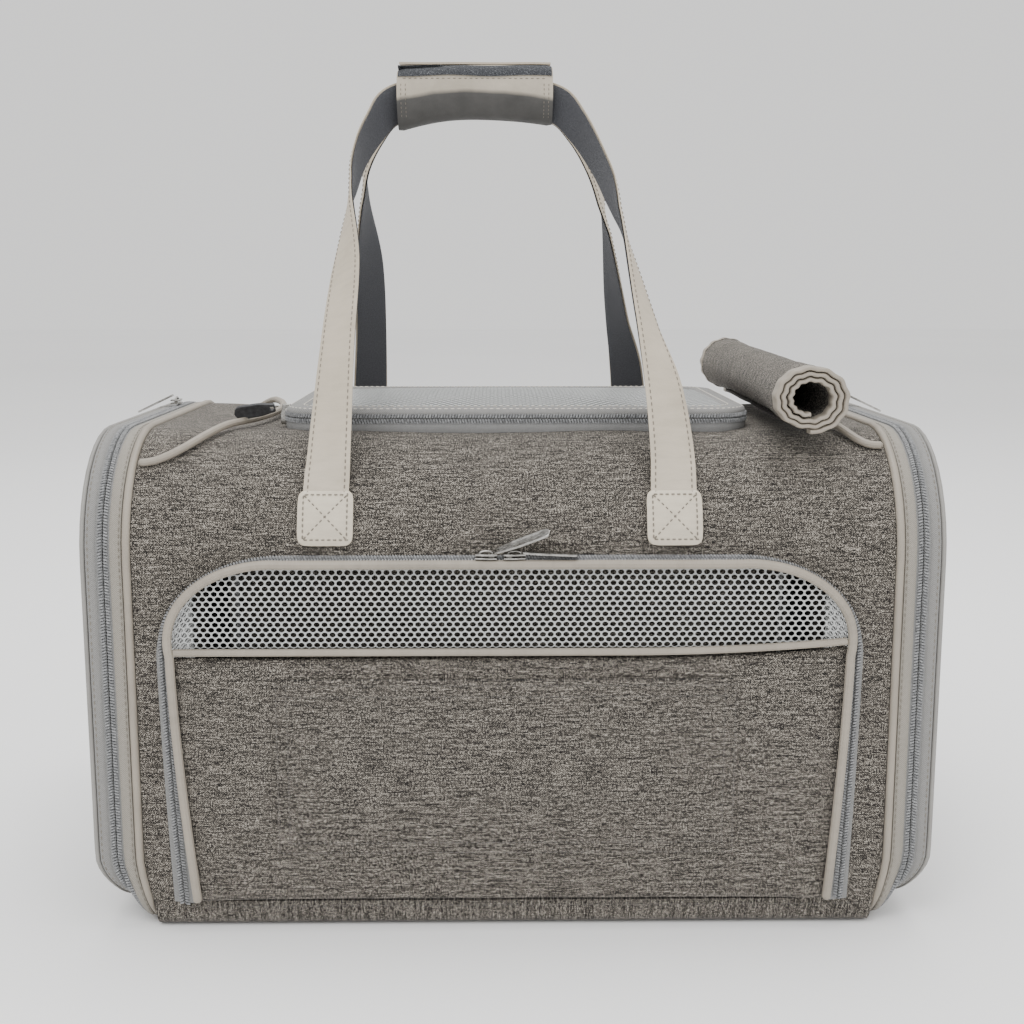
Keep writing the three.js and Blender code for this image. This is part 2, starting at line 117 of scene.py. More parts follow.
def new_piece(name, points, faces, corners=None):
    """A mesh piece from points in millimetres; corners holds each face's cloth coordinates."""
    mesh = bpy.data.meshes.new(name)
    mesh.from_pydata([Vector(p) * MM for p in points], [], faces)
    layer = mesh.uv_layers.new(name="cloth")
    if corners:
        flat = [place for face in corners for place in face]
        for k, place in enumerate(flat):
            layer.data[k].uv = (place[0] * MM, place[1] * MM)
    piece = bpy.data.objects.new(name, mesh)
    bpy.context.collection.objects.link(piece)
    return piece


def steps_along(points, closed):
    """Distances along a line of points, one more for the closing step."""
    total, places = 0.0, [0.0]
    count = len(points) if closed else len(points) - 1
    for i in range(count):
        total += (Vector(points[(i + 1) % len(points)]) - Vector(points[i])).length
        places.append(total)
    return places


def weave_faces(rows, closed_rows, closed_cols, first=0, flip=False):
    """Quads over a grid of points and the cloth coordinates of their corners."""
    count = len(rows[0])
    across = steps_along([row[count // 2] for row in rows], closed_rows)
    along = steps_along(rows[len(rows) // 2], closed_cols)
    faces, corners = [], []
    for i in range(len(rows) if closed_rows else len(rows) - 1):
        for j in range(count if closed_cols else count - 1):
            ring = [(i, j), (i, j + 1), (i + 1, j + 1), (i + 1, j)]
            if flip:
                ring.reverse()
            faces.append([first + (a % len(rows)) * count + b % count for a, b in ring])
            corners.append([(along[b], across[a]) for a, b in ring])
    return faces, corners


def grid(name, rows, closed_rows=False, closed_cols=False):
    """A sheet woven over rows of points."""
    faces, corners = weave_faces(rows, closed_rows, closed_cols)
    return new_piece(name, [p for row in rows for p in row], faces, corners)


def slab(name, upper, lower, closed_cols=False):
    """A closed sheet between two matching grids of points, with a border all round."""
    points = [p for row in upper for p in row] + [p for row in lower for p in row]
    height, count = len(upper), len(upper[0])
    faces, corners = weave_faces(upper, False, closed_cols)
    under, under_corners = weave_faces(lower, False, closed_cols, height * count, True)
    faces += under
    corners += under_corners
    shift = height * count
    border = []
    last = count if closed_cols else count - 1
    for j in range(last):
        border.append((j, (j + 1) % count))
        border.append(((height - 1) * count + (j + 1) % count, (height - 1) * count + j))
    if not closed_cols:
        for i in range(height - 1):
            border.append(((i + 1) * count, i * count))
            border.append((i * count + count - 1, (i + 1) * count + count - 1))
    for a, b in border:
        faces.append([b, a, a + shift, b + shift])
        corners.append([(0, 0), (1, 0), (1, 1), (0, 1)])
    piece = new_piece(name, points, faces, corners)
    outwards(piece)
    return piece


def thicken(piece, thickness, offset=-1.0, inner_look=0):
    """Gives a sheet its thickness; -1 lays it behind the faces, 0 to both sides."""
    solid = piece.modifiers.new("thickness", "SOLIDIFY")
    solid.thickness = thickness * MM
    solid.offset = offset
    solid.material_offset = inner_look
    apply_all(piece)


def join(name, parts):
    """Joins pieces into one, under a new name."""
    bpy.ops.object.select_all(action="DESELECT")
    for part in parts:
        part.select_set(True)
    bpy.context.view_layer.objects.active = parts[0]
    bpy.ops.object.join()
    parts[0].name = name
    return parts[0]


def dress(piece, look, *more):
    """Puts materials on a piece, the first on all of its faces unless they say otherwise."""
    piece.data.materials.clear()
    for each in (look, *more):
        piece.data.materials.append(each)
    return piece


def hang(piece, body, slot, *nodes):
    """Rides a piece on its body and says which parts it stands for; slot, the finish's name, is not used."""
    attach(piece, body)
    if nodes:
        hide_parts(*nodes)
    return piece


def flat_cloth(piece, across, up):
    """Cloth coordinates straight from the places of the points, along two axes."""
    mesh = piece.data
    layer = mesh.uv_layers.get("cloth") or mesh.uv_layers.new(name="cloth")
    for loop in mesh.loops:
        place = mesh.vertices[loop.vertex_index].co
        layer.data[loop.index].uv = (place[across], place[up])


def ease(share):
    share = min(max(share, 0.0), 1.0)
    return share * share * (3 - 2 * share)


# ---- lines and outlines ----


def arc(centre, radii, start, end, steps):
    """Points on an ellipse, angles in quarter turns."""
    points = []
    for i in range(steps + 1):
        angle = (start + (end - start) * i / steps) * math.pi / 2
        points.append((centre[0] + radii[0] * math.cos(angle), centre[1] + radii[1] * math.sin(angle)))
    return points


def straight(a, b, steps):
    """Points between two, without the ends."""
    return [tuple(p + (q - p) * i / steps for p, q in zip(a, b)) for i in range(1, steps)]


def round_box(left, right, bottom, top, radius, low_radius=None, steps=8, sides=20):
    """A closed rectangle with round corners, each side in equal steps."""
    low = radius if low_radius is None else low_radius
    corners = [
        arc((left + low, bottom + low), (low, low), 2, 3, steps),
        arc((right - low, bottom + low), (low, low), 3, 4, steps),
        arc((right - radius, top - radius), (radius, radius), 0, 1, steps),
        arc((left + radius, top - radius), (radius, radius), 1, 2, steps),
    ]
    points = []
    for k, corner in enumerate(corners):
        points += corner
        points += straight(corner[-1], corners[(k + 1) % 4][0], sides)
    return points


def section(offset, low, foot):
    """The bag's outline seen from its end, grown by an offset, with its underside at a height."""
    top = TOP_RADIUS + offset
    low_radius = max(FOOT_RADIUS[foot] + offset, 6)
    return round_box(-HALF - offset, HALF + offset, low, HEIGHT + offset, top, low_radius, 10, 24)


def skin(side, along, lift=0.0):
    """(y, z) on the bag at a distance up its wall and over its shoulder."""
    if along <= SHOULDER:
        return side * (HALF + lift), along
    angle = min((along - SHOULDER) / TOP_RADIUS, math.pi / 2)
    radius = TOP_RADIUS + lift
    past = along - SHOULDER - TOP_RADIUS * angle
    y = HALF - TOP_RADIUS + radius * math.cos(angle) - past
    return side * y, SHOULDER + radius * math.sin(angle)


def along_at_height(height):
    if height <= SHOULDER:
        return height
    return SHOULDER + TOP_RADIUS * math.asin((height - SHOULDER) / TOP_RADIUS)


def along_at_depth(depth):
    return SHOULDER + TOP_RADIUS * math.acos((depth - HALF + TOP_RADIUS) / TOP_RADIUS)


def even(points, pitch, closed=False):
    """Points at an equal pitch along a line, with the direction at each."""
    line = [Vector(p) for p in points]
    if closed:
        line.append(line[0])
    places = steps_along(line, False)
    count = max(int(places[-1] / pitch), 1)
    made, k = [], 0
    for i in range(count):
        want = (i + 0.5) * places[-1] / count
        while places[k + 1] < want:
            k += 1
        share = (want - places[k]) / max(places[k + 1] - places[k], 1e-9)
        made.append((line[k].lerp(line[k + 1], share), (line[k + 1] - line[k]).normalized(), k, share))
    return made


def catmull(points, steps):
    """A smooth line through points, with even steps between each two."""
    ends = [points[0] * 2 - points[1], *points, points[-1] * 2 - points[-2]]
    made = []
    for i in range(1, len(ends) - 2):
        a, b, c, d = ends[i - 1], ends[i], ends[i + 1], ends[i + 2]
        gaps = [max((q - p).length ** 0.5, 1e-4) for p, q in ((a, b), (b, c), (c, d))]
        t1 = ((b - a) / gaps[0] - (c - a) / (gaps[0] + gaps[1]) + (c - b) / gaps[1]) * gaps[1]
        t2 = ((c - b) / gaps[1] - (d - b) / (gaps[1] + gaps[2]) + (d - c) / gaps[2]) * gaps[1]
        for k in range(steps):
            t = k / steps
            made.append(
                b * (2 * t**3 - 3 * t**2 + 1)
                + t1 * (t**3 - 2 * t**2 + t)
                + c * (-2 * t**3 + 3 * t**2)
                + t2 * (t**3 - t**2)
            )
    made.append(points[-1])
    return made


def cord_rows(line, radii, sides=10, closed=False, up=(0, 0, 1)):
    """Rows of points of a round cord along a line; radii are across and along the up direction."""
    rows = []
    last = len(line) - 1
    for i, centre in enumerate(line):
        before = line[(i - 1) % len(line)] if closed else line[max(i - 1, 0)]
        after = line[(i + 1) % len(line)] if closed else line[min(i + 1, last)]
        ahead = (Vector(after) - Vector(before)).normalized()
        across = ahead.cross(Vector(up)).normalized()
        out = across.cross(ahead)
        ring = []
        for k in range(sides):
            angle = 2 * math.pi * k / sides
            sideways = across * radii[0] * math.cos(angle)
            ring.append(Vector(centre) + sideways + out * radii[1] * math.sin(angle))
        rows.append(ring)
    return rows


def piping_cord(name, line, radius, up, closed=False):
    """A bound cord along a line, with rounded ends if it is open."""
    rows = cord_rows(line, (radius, radius), 10, closed, up)
    if closed:
        return grid(name, rows, True, True)
    for end, step in ((0, 1), (-1, -1)):
        tip = Vector(line[end])
        back = (tip - Vector(line[end + step])).normalized() * radius * 0.5
        cap = [tip + (p - tip) * 0.55 + back for p in rows[end]]
        rows.insert(0 if end == 0 else len(rows), cap)
    piece = grid(name, rows, False, True)
    pick(piece)
    bpy.ops.object.mode_set(mode="EDIT")
    bpy.ops.mesh.select_all(action="DESELECT")
    bpy.ops.mesh.select_non_manifold()
    bpy.ops.mesh.edge_face_add()
    bpy.ops.object.mode_set(mode="OBJECT")
    outwards(piece)
    return piece


# ---- stitches and zip teeth ----


def stitch_run(name, line, outs, length=2.4, pitch=3.6, radius=0.28, closed=False):
    """A run of stitches lying on a surface along a line; outs are the surface's directions."""
    points, faces = [], []
    for centre, ahead, k, _share in even(line, pitch, closed):
        out = Vector(outs[k % len(outs)]).normalized()
        across = ahead.cross(out).normalized()
        first = len(points)
        points.append(centre - ahead * length / 2 - out * radius * 0.5)
        for place in (-0.28, 0.28):
            for a, b in ((1, 0), (0, 1), (-1, 0), (0, -1)):
                points.append(centre + ahead * length * place + across * radius * a + out * radius * b)
        points.append(centre + ahead * length / 2 - out * radius * 0.5)
        for q in range(4):
            n = (q + 1) % 4
            faces.append([first, first + 1 + n, first + 1 + q])
            faces.append([first + 1 + q, first + 1 + n, first + 5 + n, first + 5 + q])
            faces.append([first + 9, first + 5 + q, first + 5 + n])
    piece = new_piece(name, points, faces)
    outwards(piece)
    return piece


def zip_half(name, chain, edge, outs, phase, tape_lift=-0.5, closed=False):
    """One side of a coil zip: a tape from its edge to the chain's middle, and the row of teeth."""
    rows = []
    for share in (0.0, 0.5, 0.97):
        rows.append([])
        for c, e, out in zip(chain, edge, outs):
            place = Vector(e).lerp(Vector(c), share)
            rows[-1].append(place + Vector(out).normalized() * tape_lift)
    tape = grid(name, rows, False, closed)
    thicken(tape, 0.5, 0)
    dress(tape, TAPE, COIL)
    points, faces = [], []
    profile = [(-0.78, -0.3), (-0.72, 0.6), (-0.35, 1.15), (0.35, 1.15), (0.72, 0.6), (0.78, -0.3)]
    for n, (centre, ahead, k, share) in enumerate(even(chain, TOOTH_PITCH, closed)):
        centre = centre + ahead * phase * TOOTH_PITCH
        out = Vector(outs[k % len(outs)]).lerp(Vector(outs[(k + 1) % len(outs)]), share).normalized()
        back = Vector(edge[k % len(edge)]) - Vector(chain[k % len(chain)])
        across = (back - ahead * back.dot(ahead) - out * back.dot(out)).normalized()
        first = len(points)
        for place, wide, high in ((0.15, 0.5, 0.35), (0.75, 1.0, 1.0), (2.6, 0.85, 0.75)):
            for a, b in profile:
                slant = a * 0.86 * wide + place * 0.3
                points.append(centre + across * place + ahead * slant + out * b * high)
        for ring in (0, 6):
            for q in range(6):
                r = (q + 1) % 6
                faces.append([first + ring + q, first + ring + r, first + ring + 6 + r, first + ring + 6 + q])
        faces.append([first + q for q in range(6)])
        faces.append([first + 12 + q for q in range(5, -1, -1)])
    teeth = new_piece(name + "_teeth", points, faces)
    outwards(teeth)
    dress(teeth, COIL)
    return join(name, [tape, teeth])


# ---- materials ----


def paint(red, green, blue):
    """A colour given as it looks, turned into light amounts."""
    return (*[((c / 255 + 0.055) / 1.055) ** 2.4 for c in (red, green, blue)], 1)


class Look:
    """A procedural material and short ways to add its nodes."""

    def __init__(self, name, roughness, metallic=0.0, sheen=0.0, specular=0.4):
        self.material = bpy.data.materials.new(name)
        self.material.use_nodes = True
        self.tree = self.material.node_tree
        self.shader = self.tree.nodes["Principled BSDF"]
        self.shader.inputs["Roughness"].default_value = roughness
        self.shader.inputs["Metallic"].default_value = metallic
        self.shader.inputs["Sheen Weight"].default_value = sheen
        self.shader.inputs["Specular IOR Level"].default_value = specular

    def node(self, kind, inputs=None, **settings):
        made = self.tree.nodes.new("ShaderNode" + kind)
        for key, value in settings.items():
            setattr(made, key, value)
        for key, value in (inputs or {}).items():
            if hasattr(value, "links"):
                self.tree.links.new(value, made.inputs[key])
            else:
                made.inputs[key].default_value = value
        return made

    def cloth(self, scale=(1, 1, 1), turn=0.0):
        """Cloth coordinates in metres, stretched and turned."""
        place = self.node("UVMap", uv_map="cloth").outputs[0]
        mapping = self.node("Mapping", {"Vector": place, "Scale": scale, "Rotation": (0, 0, turn)})
        return mapping.outputs[0]

    def solid(self, scale=(1, 1, 1)):
        """The place in the bag, in metres."""
        place = self.node("TexCoord").outputs["Object"]
        return self.node("Mapping", {"Vector": place, "Scale": scale}).outputs[0]

    def noise(self, where, scale=1.0, detail=3.0, rough=0.6):
        made = self.node("TexNoise", {"Vector": where, "Scale": scale, "Detail": detail, "Roughness": rough})
        return made.outputs["Fac"]

    def math(self, operation, a, b=0.5, c=0.5):
        return self.node("Math", {0: a, 1: b, 2: c}, operation=operation).outputs[0]

    def ramp(self, value, stops):
        made = self.node("ValToRGB", {"Fac": value})
        bar = made.color_ramp
        for _ in range(len(stops) - 2):
            bar.elements.new(0.5)
        for element, (place, colour) in zip(bar.elements, stops):
            element.position = place
            element.color = colour
        return made.outputs["Color"]

    def mix(self, share, a, b, blend="MIX"):
        made = self.node("Mix", data_type="RGBA", blend_type=blend)
        for key, value in ((0, share), (6, a), (7, b)):
            if hasattr(value, "links"):
                self.tree.links.new(value, made.inputs[key])
            else:
                made.inputs[key].default_value = value
        return made.outputs[2]

    def colour(self, value):
        self.tree.links.new(value, self.shader.inputs["Base Color"])

    def rough(self, value, low, high):
        spread = self.node("MapRange", {"Value": value, "To Min": low, "To Max": high}).outputs[0]
        self.tree.links.new(spread, self.shader.inputs["Roughness"])

    def bump(self, height, strength, distance):
        made = self.node("Bump", {"Height": height, "Strength": strength, "Distance": distance * MM})
        self.tree.links.new(made.outputs[0], self.shader.inputs["Normal"])


def yarn_grid(look, pitch):
    """The over and under of a plain weave, 0 to 1, with yarns at a pitch in millimetres."""
    split = look.node("SeparateXYZ", {0: look.cloth()})
    turns = 2 * math.pi / (pitch * MM)
    waves = [look.math("SINE", look.math("MULTIPLY", split.outputs[k], turns)) for k in (0, 1)]
    both = look.math("MULTIPLY", waves[0], waves[1])
    return look.math("MULTIPLY_ADD", both, 0.5, 0.5)


def heather_cloth(name="heather", shade=1.0):
    """Two-tone cloth of fine light and dark yarns both ways, with a few slubs."""
    look = Look(name, 0.92, sheen=0.08, specular=0.15)
    weft = look.noise(look.cloth((300, 1600, 1)), 1.0, 3, 0.7)
    warp = look.noise(look.cloth((1600, 340, 1)), 1.0, 3, 0.7)
    weave = yarn_grid(look, 1.3)
    tone = look.mix(weave, warp, weft)
    fleck = look.noise(look.cloth((1500, 1500, 1)), 1.0, 2, 0.7)
    tone = look.math("MULTIPLY_ADD", look.math("SUBTRACT", fleck, 0.5), 1.0, tone)
    slub = look.noise(look.cloth((60, 700, 1)), 1.0, 2)
    tone = look.math("MULTIPLY_ADD", look.math("SUBTRACT", slub, 0.5), 0.3, tone)
    tone = look.math("MULTIPLY_ADD", look.math("SUBTRACT", weave, 0.5), 0.14, tone)
    dark = paint(20 * shade, 20 * shade, 20 * shade)
    mid = paint(50 * shade, 47 * shade, 44 * shade)
    light = paint(86 * shade, 81 * shade, 75 * shade)
    bright = paint(178 * shade, 171 * shade, 160 * shade)
    look.colour(look.ramp(tone, [(0.37, dark), (0.46, mid), (0.54, light), (0.68, bright)]))
    look.bump(look.math("ADD", tone, weave), 0.6, 0.25)
    return look.material


def coated_binding(name, base, grain=900, rough=(0.42, 0.6)):
    """Soft coated cloth, like thin leather: fine pebbles, faint creases, slightly worn tone."""
    look = Look(name, 0.5, specular=0.45)
    cells = look.node("TexVoronoi", {"Vector": look.cloth(), "Scale": grain}).outputs["Distance"]
    creases = look.noise(look.cloth((60, 220, 1)), 1.0, 4, 0.6)
    soil = look.noise(look.cloth((14, 14, 1)), 1.0, 4, 0.6)
    pale = tuple(min(c * 1.1, 1) for c in base[:3]) + (1,)
    dull = tuple(c * 0.84 for c in base[:3]) + (1,)
    tone = look.math("MULTIPLY_ADD", look.math("SUBTRACT", creases, 0.5), 0.5, soil)
    look.colour(look.ramp(tone, [(0.3, dull), (0.5, base), (0.72, pale)]))
    look.rough(soil, *rough)
    look.bump(look.math("MULTIPLY_ADD", creases, 1.2, cells), 0.3, 0.2)
    return look.material


def herringbone_tape(name, base, pitch=1.1, wide=3.2):
    """Woven tape with slanted ribs that turn back at each column."""
    look = Look(name, 0.8, sheen=0.1, specular=0.25)
    split = look.node("SeparateXYZ", {0: look.cloth()})
    fold = look.math("PINGPONG", split.outputs[1], wide * MM)
    slant = look.math("ADD", split.outputs[0], fold)
    ribs = look.math("SINE", look.math("MULTIPLY", slant, 2 * math.pi / (pitch * MM)))
    ribs = look.math("MULTIPLY_ADD", ribs, 0.5, 0.5)
    fuzz = look.noise(look.cloth((500, 500, 1)), 1.0, 3, 0.7)
    tone = look.math("MULTIPLY_ADD", look.math("SUBTRACT", fuzz, 0.5), 0.9, ribs)
    dark = tuple(c * 0.68 for c in base[:3]) + (1,)
    pale = tuple(min(c * 1.15, 1) for c in base[:3]) + (1,)
    look.colour(look.ramp(tone, [(0.0, dark), (0.45, base), (1.0, pale)]))
    look.bump(tone, 0.5, 0.25)
    return look.material


def zip_coil():
    """Nylon teeth, dull grey with lighter crowns."""
    look = Look("zip_coil", 0.42, specular=0.5)
    blotch = look.noise(look.solid((700, 700, 700)), 1.0, 3)
    look.colour(look.ramp(blotch, [(0.3, paint(92, 93, 95)), (0.7, paint(158, 159, 160))]))
    look.bump(blotch, 0.2, 0.1)
    return look.material


def net_yarn():
    """Knitted spacer net, silvery with a satin shine."""
    look = Look("net", 0.4, sheen=0.1, specular=0.55)
    fibre = look.noise(look.solid((1600, 1600, 1600)), 1.0, 4, 0.7)
    look.colour(look.ramp(fibre, [(0.3, paint(140, 142, 142)), (0.7, paint(198, 200, 199))]))
    look.bump(fibre, 0.35, 0.12)
    return look.material


def lining_canvas(name, base):
    """Plain woven canvas."""
    look = Look(name, 0.88, sheen=0.08, specular=0.2)
    weave = yarn_grid(look, 0.95)
    fuzz = look.noise(look.cloth((900, 900, 1)), 1.0, 3, 0.7)
    tone = look.math("MULTIPLY_ADD", look.math("SUBTRACT", fuzz, 0.5), 1.1, weave)
    dark = tuple(c * 0.6 for c in base[:3]) + (1,)
    pale = tuple(min(c * 1.35, 1) for c in base[:3]) + (1,)
    look.colour(look.ramp(tone, [(0.1, dark), (0.5, base), (0.95, pale)]))
    look.bump(tone, 0.6, 0.25)
    return look.material


def grip_leather_with_painted_shade():
    """The grip's wrap: pale coated cloth above its fold, with painted shade below it where the wrap turns
    under.
    """
    look = Look("grip_wrap_painted_shade", 0.72, specular=0.2)
    # Where the painted shade starts: a line across the wrap, lower towards its ends and wavering.
    split = look.node("SeparateXYZ", {0: look.solid()})
    sway = look.noise(look.solid((30, 30, 30)), 1.0, 2)
    arch = look.math("MULTIPLY_ADD", look.math("SUBTRACT", sway, 0.5), 0.004, split.outputs[2])
    off_middle = look.math("ADD", split.outputs[0], 0.0215)
    arch = look.math("MULTIPLY_ADD", look.math("MULTIPLY", off_middle, off_middle), 2.2, arch)
    # fold is the mask of the painted shade: 0 below the line, 1 above it.
    fold = look.node("MapRange", {"Value": arch, "From Min": 0.4562, "From Max": 0.4588}).outputs[0]
    cells = look.node("TexVoronoi", {"Vector": look.solid(), "Scale": 900}).outputs["Distance"]
    soil = look.noise(look.solid((40, 40, 40)), 1.0, 4)
    upper = look.ramp(soil, [(0.3, paint(160, 152, 138)), (0.7, paint(184, 175, 160))])
    # under is painted shade: the pale cloth's colour darkened for the underside turned away from the light.
    under = look.ramp(soil, [(0.3, paint(70, 69, 68)), (0.7, paint(90, 89, 87))])
    look.colour(look.mix(fold, under, upper))
    look.bump(cells, 0.3, 0.2)
    return look.material


def hook_pile():
    """The fuzzy hook side of a touch fastener."""
    look = Look("hook_pile", 0.95, sheen=0.1, specular=0.1)
    hooks = look.node("TexVoronoi", {"Vector": look.solid(), "Scale": 1300}).outputs["Distance"]
    fuzz = look.noise(look.solid((1400, 1400, 1400)), 1.0, 3, 0.7)
    stops = [(0.3, paint(36, 37, 40)), (0.55, paint(62, 64, 68)), (0.72, paint(128, 130, 132))]
    look.colour(look.ramp(fuzz, stops))
    look.bump(look.math("ADD", hooks, fuzz), 0.9, 0.5)
    return look.material


def nickel():
    """Bright plated zinc with fine scuffs."""
    look = Look("nickel", 0.2, metallic=1.0, specular=0.5)
    scuff = look.noise(look.solid((260, 2400, 900)), 1.0, 4, 0.7)
    look.colour(look.ramp(scuff, [(0.3, paint(118, 116, 112)), (0.7, paint(182, 180, 176))]))
    look.rough(scuff, 0.14, 0.36)
    look.bump(scuff, 0.12, 0.05)
    return look.material


def rubber_tab():
    """A soft moulded pull, dark and slightly dusty."""
    look = Look("rubber_tab", 0.55, specular=0.4)
    dust = look.noise(look.solid((420, 420, 420)), 1.0, 4)
    look.colour(look.ramp(dust, [(0.35, paint(44, 44, 46)), (0.7, paint(66, 66, 68))]))
    look.bump(dust, 0.25, 0.12)
    return look.material


def floor_board():
    """Pressed black board with a leathery surface."""
    look = Look("floor_board", 0.7, specular=0.4)
    cells = look.node("TexVoronoi", {"Vector": look.solid(), "Scale": 420}).outputs["Distance"]
    cloud = look.noise(look.solid((30, 30, 30)), 1.0, 4)
    look.colour(look.ramp(cloud, [(0.3, paint(36, 36, 38)), (0.7, paint(54, 54, 56))]))
    look.bump(cells, 0.5, 0.4)
    return look.material


def spring_wire():
    """Drawn steel wire, dull and streaked."""
    look = Look("spring_wire", 0.35, metallic=1.0)
    streak = look.noise(look.solid((1500, 60, 60)), 1.0, 3)
    look.colour(look.ramp(streak, [(0.3, paint(120, 120, 120)), (0.7, paint(176, 176, 175))]))
    look.bump(streak, 0.2, 0.1)
    return look.material


def pile_fleece():
    """Short curly pile."""
    look = Look("fleece", 1.0, sheen=0.5, specular=0.1)
    curl = look.node("TexVoronoi", {"Vector": look.solid(), "Scale": 230}).outputs["Distance"]
    fuzz = look.noise(look.solid((600, 600, 600)), 1.0, 4, 0.7)
    tone = look.math("MULTIPLY_ADD", fuzz, 0.6, curl)
    look.colour(look.ramp(tone, [(0.2, paint(226, 222, 214)), (0.9, paint(182, 177, 168))]))
    look.bump(look.math("MULTIPLY", tone, -1), 0.9, 2.0)
    return look.material


def sewing_thread(name, red, green, blue):
    look = Look(name, 0.6, sheen=0.2, specular=0.3)
    twist = look.noise(look.solid((3000, 3000, 3000)), 1.0, 2)
    base = paint(red, green, blue)
    look.colour(look.ramp(twist, [(0.3, tuple(c * 0.75 for c in base[:3]) + (1,)), (0.7, base)]))
    look.bump(twist, 0.3, 0.05)
    return look.material


def studio_floor():
    look = Look("studio_floor", 0.9, specular=0.1)
    cloud = look.noise(look.solid((0.6, 0.6, 0.6)), 1.0, 2)
    look.colour(look.ramp(cloud, [(0.3, paint(248, 248, 248)), (0.7, paint(252, 252, 252))]))
    return look.material


HEATHER = heather_cloth()
POCKET_CLOTH = heather_cloth("pocket_heather", 0.985)
LINING = lining_canvas("lining", paint(46, 48, 51))
BINDING = coated_binding("piping_binding", paint(149, 141, 129))
STRAP_FACE = coated_binding("strap_face", paint(187, 176, 158), 1000, (0.45, 0.62))
PATCH_FACE = coated_binding("patch_face", paint(203, 193, 174), 800)
CANVAS = lining_canvas("strap_canvas", paint(74, 75, 79))
BAND = herringbone_tape("band_tape", paint(146, 141, 132))
EDGE = coated_binding("edge_binding", paint(138, 136, 132))
RIM = herringbone_tape("rim_tape", paint(135, 134, 132))
TAPE = herringbone_tape("zip_tape", paint(132, 132, 131), 0.9, 2.0)
COIL = zip_coil()
NET = net_yarn()
WRAP_WITH_PAINTED_SHADE = grip_leather_with_painted_shade()
HOOK = hook_pile()
NICKEL = nickel()
RUBBER = rubber_tab()
BOARD = floor_board()
WIRE = spring_wire()
FLEECE = pile_fleece()
PALE_THREAD = sewing_thread("pale_thread", 226, 220, 208)
# Tan thread, darker than its own tone: partly painted shade for the sunken stitch lines.
TAN_THREAD_WITH_PAINTED_SHADE = sewing_thread("tan_thread_painted_shade", 128, 121, 110)
GREY_THREAD = sewing_thread("grey_thread", 98, 94, 89)


# ---- body cover ----


def ripple(x, y, z, size, wave):
    return noise.noise(Vector((x, y, z)) / wave) * size


def prism(name, outline, axis, start, end):
    """A cutter: an outline in the plane across an axis, between two places on it."""
    order = {"y": lambda a, b, c: (a, c, b), "z": lambda a, b, c: (a, b, c)}[axis]
    count = len(outline)
    points = [order(a, b, start) for a, b in outline] + [order(a, b, end) for a, b in outline]
    faces = [[k, (k + 1) % count, (k + 1) % count + count, k + count] for k in range(count)]
    faces += [list(range(count)), list(range(2 * count - 1, count - 1, -1))]
    piece = new_piece(name, points, faces)
    outwards(piece)
    return piece


def cut_out(piece, cutter):
    """Cuts one piece's shape out of another and removes the cutter."""
    cut = piece.modifiers.new("cut", "BOOLEAN")
    cut.operation = "DIFFERENCE"
    cut.solver = "EXACT"
    cut.object = cutter
    apply_all(piece)
    bpy.data.objects.remove(cutter)


def door_line(side_inset, top_inset, foot=0.0, lean=0.0):
    """(x, z) along the front door's arch from its right foot over the top to the left one."""
    left, right, low = DOOR["left"], DOOR["right"], DOOR["bottom"] + foot
    right_arc = door_corner(right - DOOR["corner_x"], 0, side_inset, top_inset)
    left_arc = door_corner(left + DOOR["corner_x"], 1, side_inset, top_inset)
    points = [(right - side_inset, low)] + straight((right - side_inset, low), right_arc[0], 28)
    points += right_arc + straight(right_arc[-1], left_arc[0], 40) + left_arc
    points += straight(left_arc[-1], (left + side_inset, low), 28) + [(left + side_inset, low)]
    return [(lean_in(x, z, lean), z) for x, z in points]


def door_corner(x, quarter, side_inset, top_inset):
    """A top corner of the door's lines, that crowd together where the arch turns."""
    points = []
    for i in range(21):
        angle = (quarter + i / 20) * math.pi / 2
        spread = 1 - 0.8 * abs(math.sin(2 * angle))
        across = (DOOR["corner_x"] - side_inset * spread) * math.cos(angle)
        up = (DOOR["corner_z"] - top_inset * spread) * math.sin(angle)
        points.append((x + across, DOOR["top"] - DOOR["corner_z"] + up))
    return points


def lean_in(x, z, lean):
    """The door's cords lean in towards the foot of the door, more on the left."""
    share = max(0.0, (MESH_LINE - z) / MESH_LINE) ** 1.5
    return x - math.copysign(lean * (1.0 if x < 0 else 0.8), x) * share


